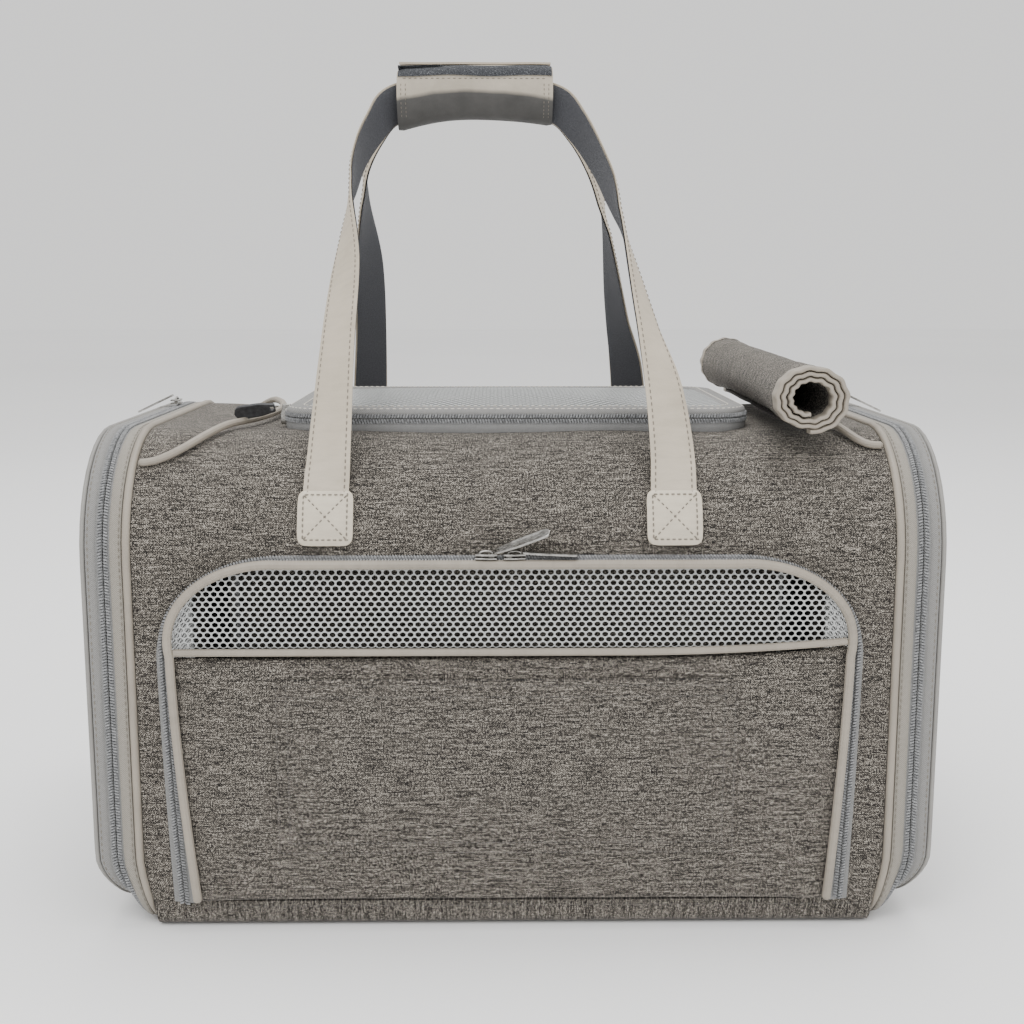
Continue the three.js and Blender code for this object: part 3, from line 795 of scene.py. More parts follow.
def body_cover():
    """One cloth over front, top and back, with its three openings cut."""
    flat_top = HALF - TOP_RADIUS
    reach = 2 * (along_at_depth(flat_top) + flat_top)
    cell = 5
    count = int((reach - 2 * DOOR["bottom"]) / cell)
    wide = 80
    rows = []
    for i in range(count + 1):
        along = DOOR["bottom"] + (reach - 2 * DOOR["bottom"]) * i / count
        row = []
        for j in range(wide + 1):
            x = -PANEL_END + 2 * PANEL_END * j / wide
            edge = ease((PANEL_END - abs(x)) / 45)
            side = -1 if along < reach / 2 else 1
            place = along if side < 0 else reach - along
            soft = ease((place - 150) / 60)
            wave = ripple(x, along, 3.0, 1.7, 62) + ripple(x, along, 40.0, 0.7, 26)
            lift = (wave - 0.9 * soft) * edge * (0.35 + 0.65 * soft) - 0.5 * edge
            y, z = skin(side, min(place, reach / 2), lift)
            row.append((tucked(math.copysign(1, x), abs(x), z), y, z))
        rows.append(row)
    cover = grid("body_cover", rows)
    thicken(cover, WALL - 0.6, -1, 1)
    dress(cover, HEATHER, LINING)
    cut_out(cover, prism("doorway", door_line(0.9, -0.3, -12, 6), "y", -160, -120))
    gap = 0.3
    hatch = round_box(
        TOP_DOOR["left"] - gap, TOP_DOOR["right"] + gap, TOP_DOOR["front"] - gap, TOP_DOOR["back"] + gap, 24
    )
    cut_out(cover, prism("hatch", hatch, "z", 240, 290))
    cut_out(cover, prism("rear_opening", window_line(0.6), "y", 120, 160))
    smooth(cover, 40)
    hang(cover, "shell", "heather", "front_panel", "rear_panel", "top_left_panel", "top_right_panel")


def window_line(inset):
    return round_box(
        -WINDOW["half_width"] + inset,
        WINDOW["half_width"] - inset,
        WINDOW["bottom"] + inset,
        WINDOW["top"] - inset,
        WINDOW["radius"] - inset,
    )


def bottom_tray():
    """The floor cloth, turned up at the front and back to a sewn seam."""
    seam = DOOR["bottom"] + 0.6
    bend = FLOOR_RADIUS
    profile = [(-HALF - 0.4, seam), (-HALF - 0.4, (seam + bend) / 2)]
    profile += [(y - 0.4, z) for y, z in arc((-HALF + bend, bend), (bend, bend - 0.1), 2, 3, 8)]
    profile += straight((-HALF + bend, 0.1), (HALF - bend, 0.1), 30)
    profile += [(y + 0.4, z) for y, z in arc((HALF - bend, bend), (bend, bend - 0.1), 3, 4, 8)]
    profile += [(HALF + 0.4, (seam + bend) / 2), (HALF + 0.4, seam)]
    rows = []
    for j in range(61):
        x = -PANEL_END + 2 * PANEL_END * j / 60
        rows.append([(tucked(math.copysign(1, x), abs(x), z), y, z) for y, z in profile])
    tray = grid("bottom_tray", rows)
    thicken(tray, 3.4, -1 if tray.data.polygons[0].normal.y < 0 else 1, 1)
    dress(tray, HEATHER, LINING)
    smooth(tray, 40)
    hang(tray, "shell", "heather", "bottom_panel")
    for side, name in ((-1, "front"), (1, "rear")):
        line = [(x, side * (HALF + 0.7), 12.3) for x in range(-192, 193, 4)]
        row = stitch_run(f"{name}_seam_stitches", line, [(0, side, 0)] * len(line))
        dress(row, GREY_THREAD)
        hang(row, "shell", "heather")


def hex_net(
    name, inside, plane, low, high, pitch=4.1, row_pitch=2.75, hole=0.82, thickness=0.5, round_holes=1
):
    """A net of round holes over a flat area; inside tells if a hole's middle is in it."""
    points, faces, index = [], [], {}
    sides = 6 * round_holes

    def corner(a, b):
        key = (round(a, 2), round(b, 2))
        if key not in index:
            index[key] = len(points)
            points.append(plane(a, b))
        return index[key]

    tall = row_pitch * 2 / 3
    hexagon = [
        (0, tall), (-pitch / 2, tall / 2), (-pitch / 2, -tall / 2),
        (0, -tall), (pitch / 2, -tall / 2), (pitch / 2, tall / 2),
    ]
    if round_holes == 2:
        hexagon = [
            p for k in range(6)
            for p in (hexagon[k], tuple((u + v) / 2 for u, v in zip(hexagon[k], hexagon[(k + 1) % 6])))
        ]
    for i in range(int((high[1] - low[1]) / row_pitch) + 1):
        for j in range(int((high[0] - low[0]) / pitch) + 1):
            a = low[0] + (j + 0.5 * (i % 2)) * pitch
            b = low[1] + i * row_pitch
            if not inside(a, b):
                continue
            outer = [corner(a + u, b + v) for u, v in hexagon]
            inner = []
            for k in range(sides):
                u, v = hexagon[k]
                angle = math.atan2(v / row_pitch, u / pitch)
                wide, high_hole = pitch * hole / 2, row_pitch * 1.2 * hole / 2
                inner.append(len(points))
                points.append(plane(a + wide * math.cos(angle), b + high_hole * math.sin(angle)))
            for k in range(sides):
                n = (k + 1) % sides
                faces.append([outer[k], outer[n], inner[n], inner[k]])
    net = new_piece(name, points, faces)
    thicken(net, thickness, 0)
    outwards(net)
    dress(net, NET)
    smooth(net, 50)
    return net


def in_outline(outline):
    """A test for points inside a closed outline."""

    def test(a, b):
        inside = False
        for k, (x1, y1) in enumerate(outline):
            x2, y2 = outline[(k + 1) % len(outline)]
            if (y1 > b) != (y2 > b) and a < (x2 - x1) * (b - y1) / (y2 - y1) + x1:
                inside = not inside
        return inside

    return test


def rear_window():
    net = hex_net(
        "rear_net", in_outline(window_line(1.2)), lambda a, b: (a, HALF - 2, b), (-151, 145), (151, 199)
    )
    hang(net, "shell", "mesh", "rear_mesh_window")
    line = [(x, HALF - 0.9, z) for x, z in window_line(2.1)]
    cord = piping_cord("rear_window_binding", line, 2.1, (0, 1, 0), True)
    outwards(cord)
    dress(cord, BINDING)
    smooth(cord)
    hang(cord, "shell", "piping", "rear_window_piping")


def shoulder_cord(name, side):
    """The seam cord that curves over a top corner."""
    inner = TOP_DOOR["left"] - 14 if side < 0 else TOP_DOOR["right"] + 39
    outer = side * (PANEL_END - 2.2)
    reach_back, bend = (118, 1.0) if side < 0 else (108, 0.7)
    lift = PIPING / 2 + 0.2
    line = []
    for i in range(61):
        turn = math.pi * i / 60
        depth = reach_back * math.cos(turn)
        x = outer + (inner - outer) * max(math.sin(turn), 0.0) ** bend
        if abs(depth) > HALF - TOP_RADIUS:
            y, z = skin(-math.copysign(1, depth), along_at_depth(abs(depth)), lift)
        else:
            y, z = -depth, HEIGHT + lift
        line.append((x, y, z))
    cord = piping_cord(name + "_seam_cord", line, PIPING / 2, (0.2 * side, 0, 1))
    dress(cord, BINDING)
    smooth(cord)
    hang(cord, "shell", "piping", name)


# ---- ends ----


def end_loops(side, profile, foot):
    """Loops round the bag for a profile of (x, offset, height of the underside)."""
    rows = []
    for x, offset, low in profile:
        rows.append([(tucked(side, x, z), y, z) for y, z in section(offset, low, foot)])
    return rows


def tucked(side, x, z):
    """Places along the bag are drawn in towards the foot of each end."""
    inwards = 6 * min(x / BODY_END, 1.0) + 11 * max(x - BODY_END, 0.0) / 24
    return side * (x - ease((42 - z) / 42) * inwards)


def end_ring(name, side, profile, look, foot="end"):
    """A closed ring round the bag, swept from a closed profile."""
    ring = grid(name, end_loops(side, profile, foot), True, True)
    outwards(ring)
    dress(ring, look)
    smooth(ring, 50)
    return ring


def end_cord(name, side, x, offset, low, radii, foot):
    profile = []
    for k in range(10):
        angle = 2 * math.pi * k / 10
        rise = radii[1] * math.sin(angle)
        profile.append((x + radii[0] * math.cos(angle), offset + rise, low - rise))
    return end_ring(name, side, profile, BINDING, foot)


def end_chain(side, x, offset, low, foot="zip"):
    return [(tucked(side, x, z), y, z) for y, z in section(offset, low, foot)]


def end_normals(side):
    line = section(0, 0, "zip")
    outs = []
    for k, (y, z) in enumerate(line):
        (y1, z1), (y2, z2) = line[k - 1], line[(k + 1) % len(line)]
        out = Vector((0, z2 - z1, y1 - y2)).normalized()
        outs.append(out)
    return outs


def bag_end(name, side):
    body = f"{name}_end"
    near = end_cord(f"end_piping_near_{name}", side, BODY_END, 0.2, 2.3, (2.15, 2.15), "body")
    hang(near, "shell", "piping", f"end_piping_inner_{name}")
    sill = END_LIFT - 0.4
    band = [
        (205.3, -0.6, 0.9), (205.7, 0.5, 0.3), (207.2, 0.95, 0.15), (209.8, 0.95, 0.15), (211.6, 0.2, 0.6),
        (211.8, -0.9, 1.5), (211.0, -2.7, sill), (200.8, -2.7, sill), (200.8, -2.1, 4), (204.8, -2.1, 4),
    ]
    ring = end_ring(f"end_band_{name}_tape", side, band, BAND, "body")
    hang(ring, "shell", "tape", f"end_band_{name}")
    outs = end_normals(side)
    low = 1.4
    chain = end_chain(side, 215.1, 0.2, low)
    edge = end_chain(side, 211.0, 0.3, low)
    near_zip = zip_half(f"end_zip_{name}_body", chain, edge, outs, 0, closed=True)
    hang(near_zip, "shell", "coil", f"end_zip_body_{name}")
    lift = END_LIFT + 1.4
    chain = end_chain(side, 215.3, 0.2, lift)
    edge = end_chain(side, 219.4, 0.3, lift)
    far_zip = zip_half(f"end_zip_{name}_door", chain, edge, outs, 0.5, closed=True)
    hang(far_zip, body, "coil", f"end_zip_door_{name}")
    rim = [
        (218.6, -0.6, lift), (219.2, 0.3, lift - 0.7), (221.5, 0.9, lift - 1.2), (224.2, 0.6, lift - 1),
        (224.6, -0.5, lift), (223.6, -2.6, lift + 2), (219.4, -2.6, lift + 2),
    ]
    rim_ring = end_ring(f"end_rim_{name}_tape", side, rim, RIM)
    far = end_cord(f"end_piping_far_{name}", side, 226.1, -1.2, END_LIFT + 1.8, (1.4, 2.0), "end")
    dress(far, EDGE)
    hang(far, body, "piping", f"end_piping_outer_{name}")
    face_loops = []
    for k in range(15):
        share = k / 14
        crown = 1.3 * math.sin(math.pi * share)
        face_loops.append((223.2 + crown, -1.5 - 41 * share, END_LIFT + 2 + 48.5 * share))
    face = grid(f"end_face_{name}", end_loops(side, face_loops, "end"), False, True)
    flat_cloth(face, 1, 2)
    if (face.data.polygons[3].normal.x > 0) != (side > 0):
        face.data.flip_normals()
    thicken(face, 2.6, -1, 1)
    dress(face, HEATHER, LINING)
    smooth(face, 40)
    hang(face, body, "heather", f"end_panel_{name}")
    hang(rim_ring, body, "tape")
    window = section(-41.5, END_LIFT + 49, "end")
    net = hex_net(
        f"end_net_{name}", in_outline(window), lambda a, b: (side * 222.4, a, b), (-100, 55), (100, 228)
    )
    hang(net, body, "mesh", f"end_mesh_{name}")
    edging = []
    for x, inset in ((224.2, 40), (224.9, 41.5), (224.9, 45), (224.3, 46.5), (222.6, 46), (222.6, 40.5)):
        edging.append((x, -inset, END_LIFT + 49 + (inset - 42)))
    frame_tape = end_ring(f"end_window_{name}_tape", side, edging, BAND)
    hang(frame_tape, body, "tape")
    for run, x, offset, where, height, foot in (
        ("band", 206.6, 1.0, "shell", 0.2, "body"), ("rim", 223.0, 0.85, body, END_LIFT + 0.4, "end"),
    ):
        line = end_chain(side, x, offset, height, foot)
        row = stitch_run(f"end_{run}_stitches_{name}", line, outs, closed=True)
        dress(row, TAN_THREAD_WITH_PAINTED_SHADE)
        hang(row, where, "tape")
    line = [(side * 225.1, y, z) for y, z in section(-43.2, END_LIFT + 50.2, "end")]
    row = stitch_run(f"end_window_stitches_{name}", line, [(side, 0, 0)] * len(line), closed=True)
    dress(row, PALE_THREAD)
    hang(row, body, "tape")
    gusset(name, side)


def gusset(name, side):
    """Net cloth folded inside the zip."""
    rows = []
    for k in range(15):
        x = 204.5 + 14 * k / 14
        wave = 0.7 * math.sin(k * math.pi / 2.0)
        rows.append([(tucked(side, x, z), y, z) for y, z in section(-5.2 + wave, END_LIFT + 3.5, "zip")])
    sheet = grid(f"gusset_{name}", rows, False, True)
    thicken(sheet, 0.8, 0)
    outwards(sheet)
    dress(sheet, LINING)
    smooth(sheet, 50)
    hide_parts(f"end_gusset_{name}")
    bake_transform(sheet)


# ---- front door ----


def bar_rise(x):
    """The straight cord under the net climbs towards its right end."""
    return 5.0 * max(0.0, (x - 60) / 112) ** 2


def puff(piece, limit, frames=20, pressure=4.0):
    """Fills a flat shape like a sewn pad: blown up as cloth, then held to a limit."""
    rest = [v.co.copy() for v in piece.data.vertices]
    cloth = piece.modifiers.new("cloth", "CLOTH")
    cloth.settings.use_pressure = True
    cloth.settings.uniform_pressure_force = pressure
    cloth.settings.effector_weights.gravity = 0
    cloth.settings.mass = 0.3
    for step in range(1, frames + 1):
        bpy.context.scene.frame_set(step)
    apply_all(piece)
    bpy.context.scene.frame_set(1)
    for vertex, start in zip(piece.data.vertices, rest):
        move = vertex.co - start
        if move.length > limit * MM:
            vertex.co = start + move.normalized() * limit * MM
    subdivision = piece.modifiers.new("finer", "SUBSURF")
    subdivision.levels = subdivision.render_levels = 1
    apply_all(piece)


def surface_of(piece):
    return BVHTree.FromPolygons(
        [v.co.copy() for v in piece.data.vertices], [list(p.vertices) for p in piece.data.polygons]
    )


def front_depth(tree, x, z, otherwise):
    """How far forward a surface lies at a place on the front, in millimetres."""
    hit = tree.ray_cast(Vector((x * MM, -0.3, z * MM)), Vector((0, 1, 0)))[0]
    return hit.y / MM if hit and hit.y < -0.13 else otherwise


def door_panel():
    """The door's cloth face under its cross cord, slightly filled."""
    inset, low = 5.2, DOOR["bottom"] + 0.8
    tall, wide = 28, 72
    front, back = [], []
    for i in range(tall + 1):
        share = i / tall
        height = low + (MESH_LINE - 2.6 - low) * share
        left = lean_in(DOOR["left"] + inset, height, 11)
        right = lean_in(DOOR["right"] - inset, height, 11)
        xs = [left + (right - left) * j / wide for j in range(wide + 1)]
        zs = [height + bar_rise(x) * share for x in xs]
        front.append([(x, DOOR_FACE + 0.8, z) for x, z in zip(xs, zs)])
        back.append([(x, -HALF - 0.8, z) for x, z in zip(xs, zs)])
    panel = slab("door_panel", front, back)
    puff(panel, 1.5)
    for vertex in panel.data.vertices:
        x, y, z = (c / MM for c in vertex.co)
        if y < -142:
            vertex.co.y += (ripple(x, z, 9.0, 0.6, 55) + ripple(x, z, 70.0, 0.25, 18)) * MM
    flat_cloth(panel, 0, 2)
    dress(panel, HEATHER)
    smooth(panel, 60)
    hang(panel, "front_door", "heather", "front_door_panel")
    return panel


def door_net():
    outline = [(x, z) for x, z in door_line(5.6, 2.5, 0, 12) if z > MESH_LINE - 2]

    def place(a, b):
        back = 2.2 * ease((b - 188) / 14)
        return (a, DOOR_FACE + 1.2 + back, b)

    def above_bar(a, b):
        return b > MESH_LINE + 0.5 + bar_rise(a) and in_outline(outline)(a, b)

    net = hex_net("door_net", above_bar, place, (-186, 154), (184, 204), round_holes=2, thickness=0.8)
    hang(net, "front_door", "mesh", "front_door_mesh")


def door_cords():
    y = DOOR_FACE - 2.2
    line = [(x, y + 0.8 * ease((z - 150) / 50), z) for x, z in door_line(6.8, 2.6, 4, 12)]
    arch = piping_cord("door_arch_cord", line, 2.45, (0, 1, 0))
    dress(arch, BINDING)
    smooth(arch)
    hang(arch, "front_door", "piping", "front_door_piping")
    bar = [(x, DOOR_FACE - 1.1, MESH_LINE + bar_rise(x)) for x in range(-179, 176, 3)]
    cross = piping_cord("door_cross_cord", bar, 2.05, (0, 1, 0))
    dress(cross, BINDING)
    smooth(cross)
    hang(cross, "front_door", "piping", "front_crossbar_piping")


def door_zip():
    """The front zip: its chain stands upright at the sides and lies on the ledge at the top."""
    centre, edge_out, edge_in, outs = [], [], [], []
    chain = door_line(3.0, 0.3, 0.8, 7)
    outer = door_line(-1.2, -1.6, 0.8, 5)
    inner = door_line(6.6, 3.2, 0.8, 12)
    for c, e, i in zip(chain, outer, inner):
        top = ease((c[1] - 175) / 28)
        centre.append((c[0], -142.3 - 0.3 * top, c[1]))
        edge_out.append((e[0], -140.8 + 0.2 * top, e[1]))
        edge_in.append((i[0], -143.6, i[1]))
        outs.append((0, -1 + 0.45 * top, 0.9 * top))
    body_half = zip_half("door_zip_body_side", centre, edge_out, outs, 0)
    hang(body_half, "shell", "coil", "front_zip_body")
    door_half = zip_half("door_zip_door_side", centre, edge_in, outs, 0.5)
    hang(door_half, "front_door", "coil", "front_zip_door")


def pocket(panel):
    """A patch pocket, sewn on three sides with two rows and open at the top."""
    tree = surface_of(panel)
    left, right, bottom, top = (POCKET[k] for k in ("left", "right", "bottom", "top"))
    fallback = DOOR_FACE

    def lay(x, z, lift):
        return (x, front_depth(tree, x, z, fallback) - lift, z)

    upper, lower = [], []
    for i in range(41):
        z = bottom + (top - bottom) * i / 40
        upper.append([])
        lower.append([])
        for j in range(91):
            x = left + (right - left) * j / 90
            near_edge = min(x - left, right - x, z - bottom)
            gape = 0.9 * ease((z - top + 30) / 30) * ease(min(x - left, right - x) / 40)
            pillow = 0.45 * ease((near_edge - 3) / 8) + ripple(x, z, 130.0, 0.25, 30)
            lift = 1.0 + pillow + gape
            upper[-1].append(lay(x, z, lift))
            lower[-1].append(lay(x, z, 0.1))
    sheet = slab("door_pocket", upper, lower)
    flat_cloth(sheet, 0, 2)
    dress(sheet, POCKET_CLOTH)
    smooth(sheet, 50)
    hang(sheet, "front_door", "heather", "front_pocket")
    runs = []
    for inset in (1.8, 7.5):
        side = [(left + inset, top - 1), (left + inset, bottom + inset), (right - inset, bottom + inset)]
        side.append((right - inset, top - 1))
        runs.append(side)
    runs.append([(left + 2, top - 3), (right - 2, top - 3)])
    runs.append([(left + 2, top - 9), (right - 2, top - 9)])
    over = surface_of(sheet)
    rows = []
    for run in runs:
        line = []
        for a, b in zip(run, run[1:]):
            steps = max(int(math.dist(a, b) / 3), 2)
            line += [a] + straight(a, b, steps)
        line.append(run[-1])
        path = [(x, front_depth(over, x, z, fallback - 1) - 0.05, z) for x, z in line]
        rows.append(stitch_run("row", path, [(0, -1, 0)] * len(path), 2.0, 2.8, 0.32))
    stitches = join("pocket_stitches", rows)
    dress(stitches, GREY_THREAD)
    hang(stitches, "front_door", "heather")


# ---- top door ----


def top_ring(inset):
    return round_box(
        TOP_DOOR["left"] + inset,
        TOP_DOOR["right"] - inset,
        TOP_DOOR["front"] + inset,
        TOP_DOOR["back"] - inset,
        TOP_DOOR["radius"] - inset,
        None,
        10,
        26,
    )


def ring_normals(line):
    outs = []
    for k in range(len(line)):
        (x1, y1), (x2, y2) = line[k - 1], line[(k + 1) % len(line)]
        outs.append(Vector((y2 - y1, x1 - x2, 0)).normalized())
    return outs


def flat_ring(name, profile, look):
    """A closed ring on top of the bag from a closed profile of (inset, height)."""
    rows = [[(x, y, z) for x, y in top_ring(inset)] for inset, z in profile]
    ring = grid(name, rows, True, True)
    outwards(ring)
    dress(ring, look)
    smooth(ring, 50)
    return ring


def crown(x, y):
    """How far the top net domes up in the middle."""
    return 4.5 * (1 - ((x - 2) / 131) ** 2) * (1 - ((y + 1) / 83) ** 2)


def top_door():
    foot = flat_ring(
        "top_zip_foot_tape",
        [(0.2, 265), (-0.3, 267.5), (-0.2, 270.6), (0.8, 271.4), (2.2, 270.5), (2.6, 265)],
        TAPE,
    )
    line = top_ring(0)
    outs = ring_normals(line)
    chain = [(x, y, 273.1) for x, y in line]
    low_edge = [(x, y, 269.6) for x, y in line]
    high_edge = [(x, y, 276.2) for x, y in line]
    body_half = zip_half("top_zip_body_side", chain, low_edge, outs, 0, closed=True)
    body_half = join("top_zip_body_side", [body_half, foot])
    hang(body_half, "shell", "tape", "top_zip_body")
    door_half = zip_half("top_zip_door_side", chain, high_edge, outs, 0.5, closed=True)
    hang(door_half, "top_door", "tape", "top_zip_door")
    border = flat_ring(
        "top_door_border",
        [
            (0.1, 275.0), (-0.1, 276.4), (0.6, 278.0), (2.5, 278.9), (8, 279.2), (11.2, 278.9), (12.2, 278.0),
            (11.4, 276.6), (2.4, 276.2),
        ],
        RIM,
    )
    hang(border, "top_door", "tape", "top_door_frame")
    rings = [[(x, y, 278.5) for x, y in top_ring(1.6)], [(x, y, 279.3) for x, y in top_ring(9.8)]]
    rows = [stitch_run("row", ring, [(0, 0, 1)] * len(ring), closed=True) for ring in rings]
    stitches = join("top_border_stitches", rows)
    dress(stitches, PALE_THREAD)
    hang(stitches, "top_door", "tape")
    net = hex_net(
        "top_net",
        in_outline(top_ring(10.2)),
        lambda a, b: (a, b, 277.4 + crown(a, b)),
        (-120, -75),
        (124, 74),
        pitch=4.6,
        row_pitch=3.7,
        hole=0.84,
        thickness=0.35,
    )
    hang(net, "top_door", "mesh", "top_door_mesh")


# ---- zip sliders and pulls ----


def rounded_block(size, bevel, segments=3):
    """A block of a size about the origin with round edges."""
    bpy.ops.mesh.primitive_cube_add(size=1)
    block = bpy.context.object
    block.data.transform(Matrix.Diagonal((*[s * MM for s in size], 1)))
    edges = block.modifiers.new("edges", "BEVEL")
    edges.width = bevel * MM
    edges.segments = segments
    apply_all(block)
    return block


def slider_body():
    """A slider: two shields joined by a post, waisted, with a bridge for the pull."""
    shields = []
    for height, thick in ((0.4, 0.9), (2.3, 1.0)):
        shield = rounded_block((11.6, 6.8, thick), 0.4)
        pick(shield)
        bpy.ops.object.mode_set(mode="EDIT")
        bpy.ops.mesh.select_all(action="SELECT")
        bpy.ops.mesh.subdivide(number_cuts=3)
        bpy.ops.object.mode_set(mode="OBJECT")
        for vertex in shield.data.vertices:
            x, y = vertex.co.x / MM, vertex.co.y / MM
            narrow = 1 - 0.3 * ease((x + 1) / 6) - 0.1 * ease((-x - 2.5) / 3.3)
            vertex.co.y = y * narrow * MM
            vertex.co.z += height * MM
        shields.append(shield)
    post = rounded_block((3.2, 1.8, 2.0), 0.4)
    post.data.transform(Matrix.Translation((-2.8 * MM, 0, 1.4 * MM)))
    line = [(-3.6, 0, 2.6), (-2.9, 0, 3.5), (-1, 0, 3.9), (1.2, 0, 3.9), (2.8, 0, 3.4), (3.4, 0, 2.6)]
    points = catmull([Vector(p) for p in line], 4)
    bridge = piping_cord("bridge", points, 0.62, (0, 1, 0))
    body = join("slider", [*shields, post, bridge])
    smooth(body, 40)
    return body


def pull_tab(length, width, thick, hole=True):
    """A flat pull along +X from its hinge: a ring at the hinge, a waist, a round end."""
    sides = []
    for i in range(25):
        x = 0.6 + (length - 0.6) * i / 24
        share = x / length
        half = width / 2 * (0.62 + 0.38 * ease(share * 2.2))
        end = length - x
        if end < width / 2:
            half = min(half, math.sqrt(max((width / 2) ** 2 - (width / 2 - end) ** 2, 0.01)))
        if x < 1.8:
            half *= 0.75 + 0.25 * (x / 1.8)
        sides.append((x, half))
    upper, lower = [], []
    for x, half in sides:
        row = [(x, half * k / 4, 0) for k in range(-4, 5)]
        dish = 0.16 * thick if 0.35 * length < x < 0.85 * length else 0.0
        upper.append([(a, b, thick / 2 - (dish if abs(b) < half * 0.6 else 0)) for a, b, _ in row])
        lower.append([(a, b, -thick / 2) for a, b, _ in row])
    tab = slab("pull", upper, lower)
    edges = tab.modifiers.new("edges", "BEVEL")
    edges.width = 0.22 * MM
    edges.segments = 2
    edges.limit_method = "ANGLE"
    edges.angle_limit = math.radians(50)
    apply_all(tab)
    if hole:
        bpy.ops.mesh.primitive_cylinder_add(radius=width * 0.17 * MM, depth=0.01, vertices=20)
        drill = bpy.context.object
        drill.data.transform(Matrix.Translation((2.3 * MM, 0, 0)))
        cut_out(tab, drill)
    smooth(tab, 35)
    return tab


def put(piece, name, place, turn, look, body, slot, node):
    """Moves a finished shape to its place and turns it, in its own mesh."""
    spin = Matrix.Identity(4)
    for angle, axis in zip(turn, "XYZ"):
        spin = Matrix.Rotation(angle, 4, axis) @ spin
    piece.data.transform(Matrix.Translation(Vector(place) * MM) @ spin)
    piece.name = name
    dress(piece, look)
    hang(piece, body, slot, node)


def copy_of(piece):
    twin = piece.copy()
    twin.data = piece.data.copy()
    bpy.context.collection.objects.link(twin)
    return twin


def zip_hardware():
    slider = slider_body()
    small = pull_tab(30, 7, 1.1)
    long_tab = pull_tab(32, 7, 1.1)
    end_tab = pull_tab(26, 6, 1.2)
    rubber = pull_tab(24, 8, 2.0)
    half = math.pi / 2
    lie = DOOR["top"] + 0.3
    put(copy_of(slider), "left_front_slider", (-15, DOOR_FACE, lie), (0, 0, math.pi), NICKEL,
        "front_slider_left", "metal", "front_slider_left")
    put(copy_of(slider), "right_front_slider", (0, DOOR_FACE, lie), (0, 0, 0), NICKEL,
        "front_slider_right", "metal", "front_slider_right")
    put(long_tab, "left_front_pull", (-11.4, DOOR_FACE, lie + 3.3), (0.45, -0.36, 0), NICKEL,
        "front_pull_left", "metal", "front_pull_left")
    put(small, "right_front_pull", (3.6, DOOR_FACE, lie + 3.3), (0, 0.04, 0), NICKEL,
        "front_pull_right", "metal", "front_pull_right")
    corner = (TOP_DOOR["left"] - 0.3, TOP_DOOR["front"] + 26, HEIGHT + 5.5)
    tip = Matrix.Rotation(-half, 4, "Y") @ Matrix.Rotation(half, 4, "X")
    top = copy_of(slider)
    top.data.transform(tip)
    put(top, "top_zip_slider", corner, (0, 0, 0), NICKEL, "top_slider", "metal", "top_slider")
    put(rubber, "top_zip_pull", (corner[0] - 5, corner[1] - 8, HEIGHT + 10), (1.1, math.pi - 0.15, 0), RUBBER,
        "top_pull", "pull", "top_pull")
    for side, name in ((-1, "left"), (1, "right")):
        x = side * (BODY_END + 14)
        put(copy_of(slider), f"{name}_zip_slider", (x, 50, HEIGHT + 2.2), (0, 0, half), NICKEL,
            f"{name}_end_slider", "metal", f"end_slider_{name}")
        turn = (0, math.pi - 0.45, 0) if side < 0 else (0, 0.45, 0)
        put(copy_of(end_tab), f"{name}_zip_pull", (x, 42, HEIGHT + 8.5), turn, NICKEL,
            f"{name}_end_pull", "metal", f"end_pull_{name}")
    for spare in (slider, end_tab):
        bpy.data.objects.remove(spare)


# ---- handles ----


def patch(name, side, x_middle):
    """A sewn square that holds a strap's end, with a stitched box and cross."""
    low = along_at_height(PATCH_BOTTOM)
    lift = 3.4
    half = PATCH_SIZE / 2
    corner = 4.5

    def lay(a, b, up):
        y, z = skin(side, low + b, up)
        return (x_middle + a, y, z)

    upper, lower = [], []
    for i in range(25):
        b = PATCH_SIZE * i / 24
        upper.append([])
        lower.append([])
        for j in range(25):
            a = -half + PATCH_SIZE * j / 24
            # the corners are rounded by pulling the outermost points in
            fa, fb = abs(a) / half, abs(b - half) / half
            pull_in = 1 - corner / half * 0.3 * (fa * fb) ** 6
            edge = min(half - abs(a), half - abs(b - half))
            up = lift - 0.9 + 0.8 * ease(edge / 2.2) + 0.35 * ease(edge / 9)
            place = (a * pull_in, half + (b - half) * pull_in)
            upper[-1].append(lay(*place, up))
            lower[-1].append(lay(*place, lift - 2.4))
    square = slab(f"patch_{name}", upper, lower)
    dress(square, PATCH_FACE)
    smooth(square, 60)
    hang(square, "shell", "strap", f"strap_patch_{name}")
    inset = 3.0
    box = [(-half + inset, inset), (half - inset, inset), (half - inset, PATCH_SIZE - inset)]
    box += [(-half + inset, PATCH_SIZE - inset), (-half + inset, inset)]
    runs = [box, [box[0], box[2]], [box[1], box[3]]]
    rows = []
    for run in runs:
        line = []
        for a, b in zip(run, run[1:]):
            line += [a] + straight(a, b, 10)
        line.append(run[-1])
        path = [lay(a, b, lift + 0.3) for a, b in line]
        outs = []
        for a, b in line:
            near, far = Vector(lay(a, b, 0)), Vector(lay(a, b, 1))
            outs.append(far - near)
        rows.append(stitch_run("row", path, outs, 2.2, 3.0, 0.38))
    cross = join(f"patch_stitches_{name}", rows)
    dress(cross, TAN_THREAD_WITH_PAINTED_SHADE)
    hang(cross, "shell", "strap")


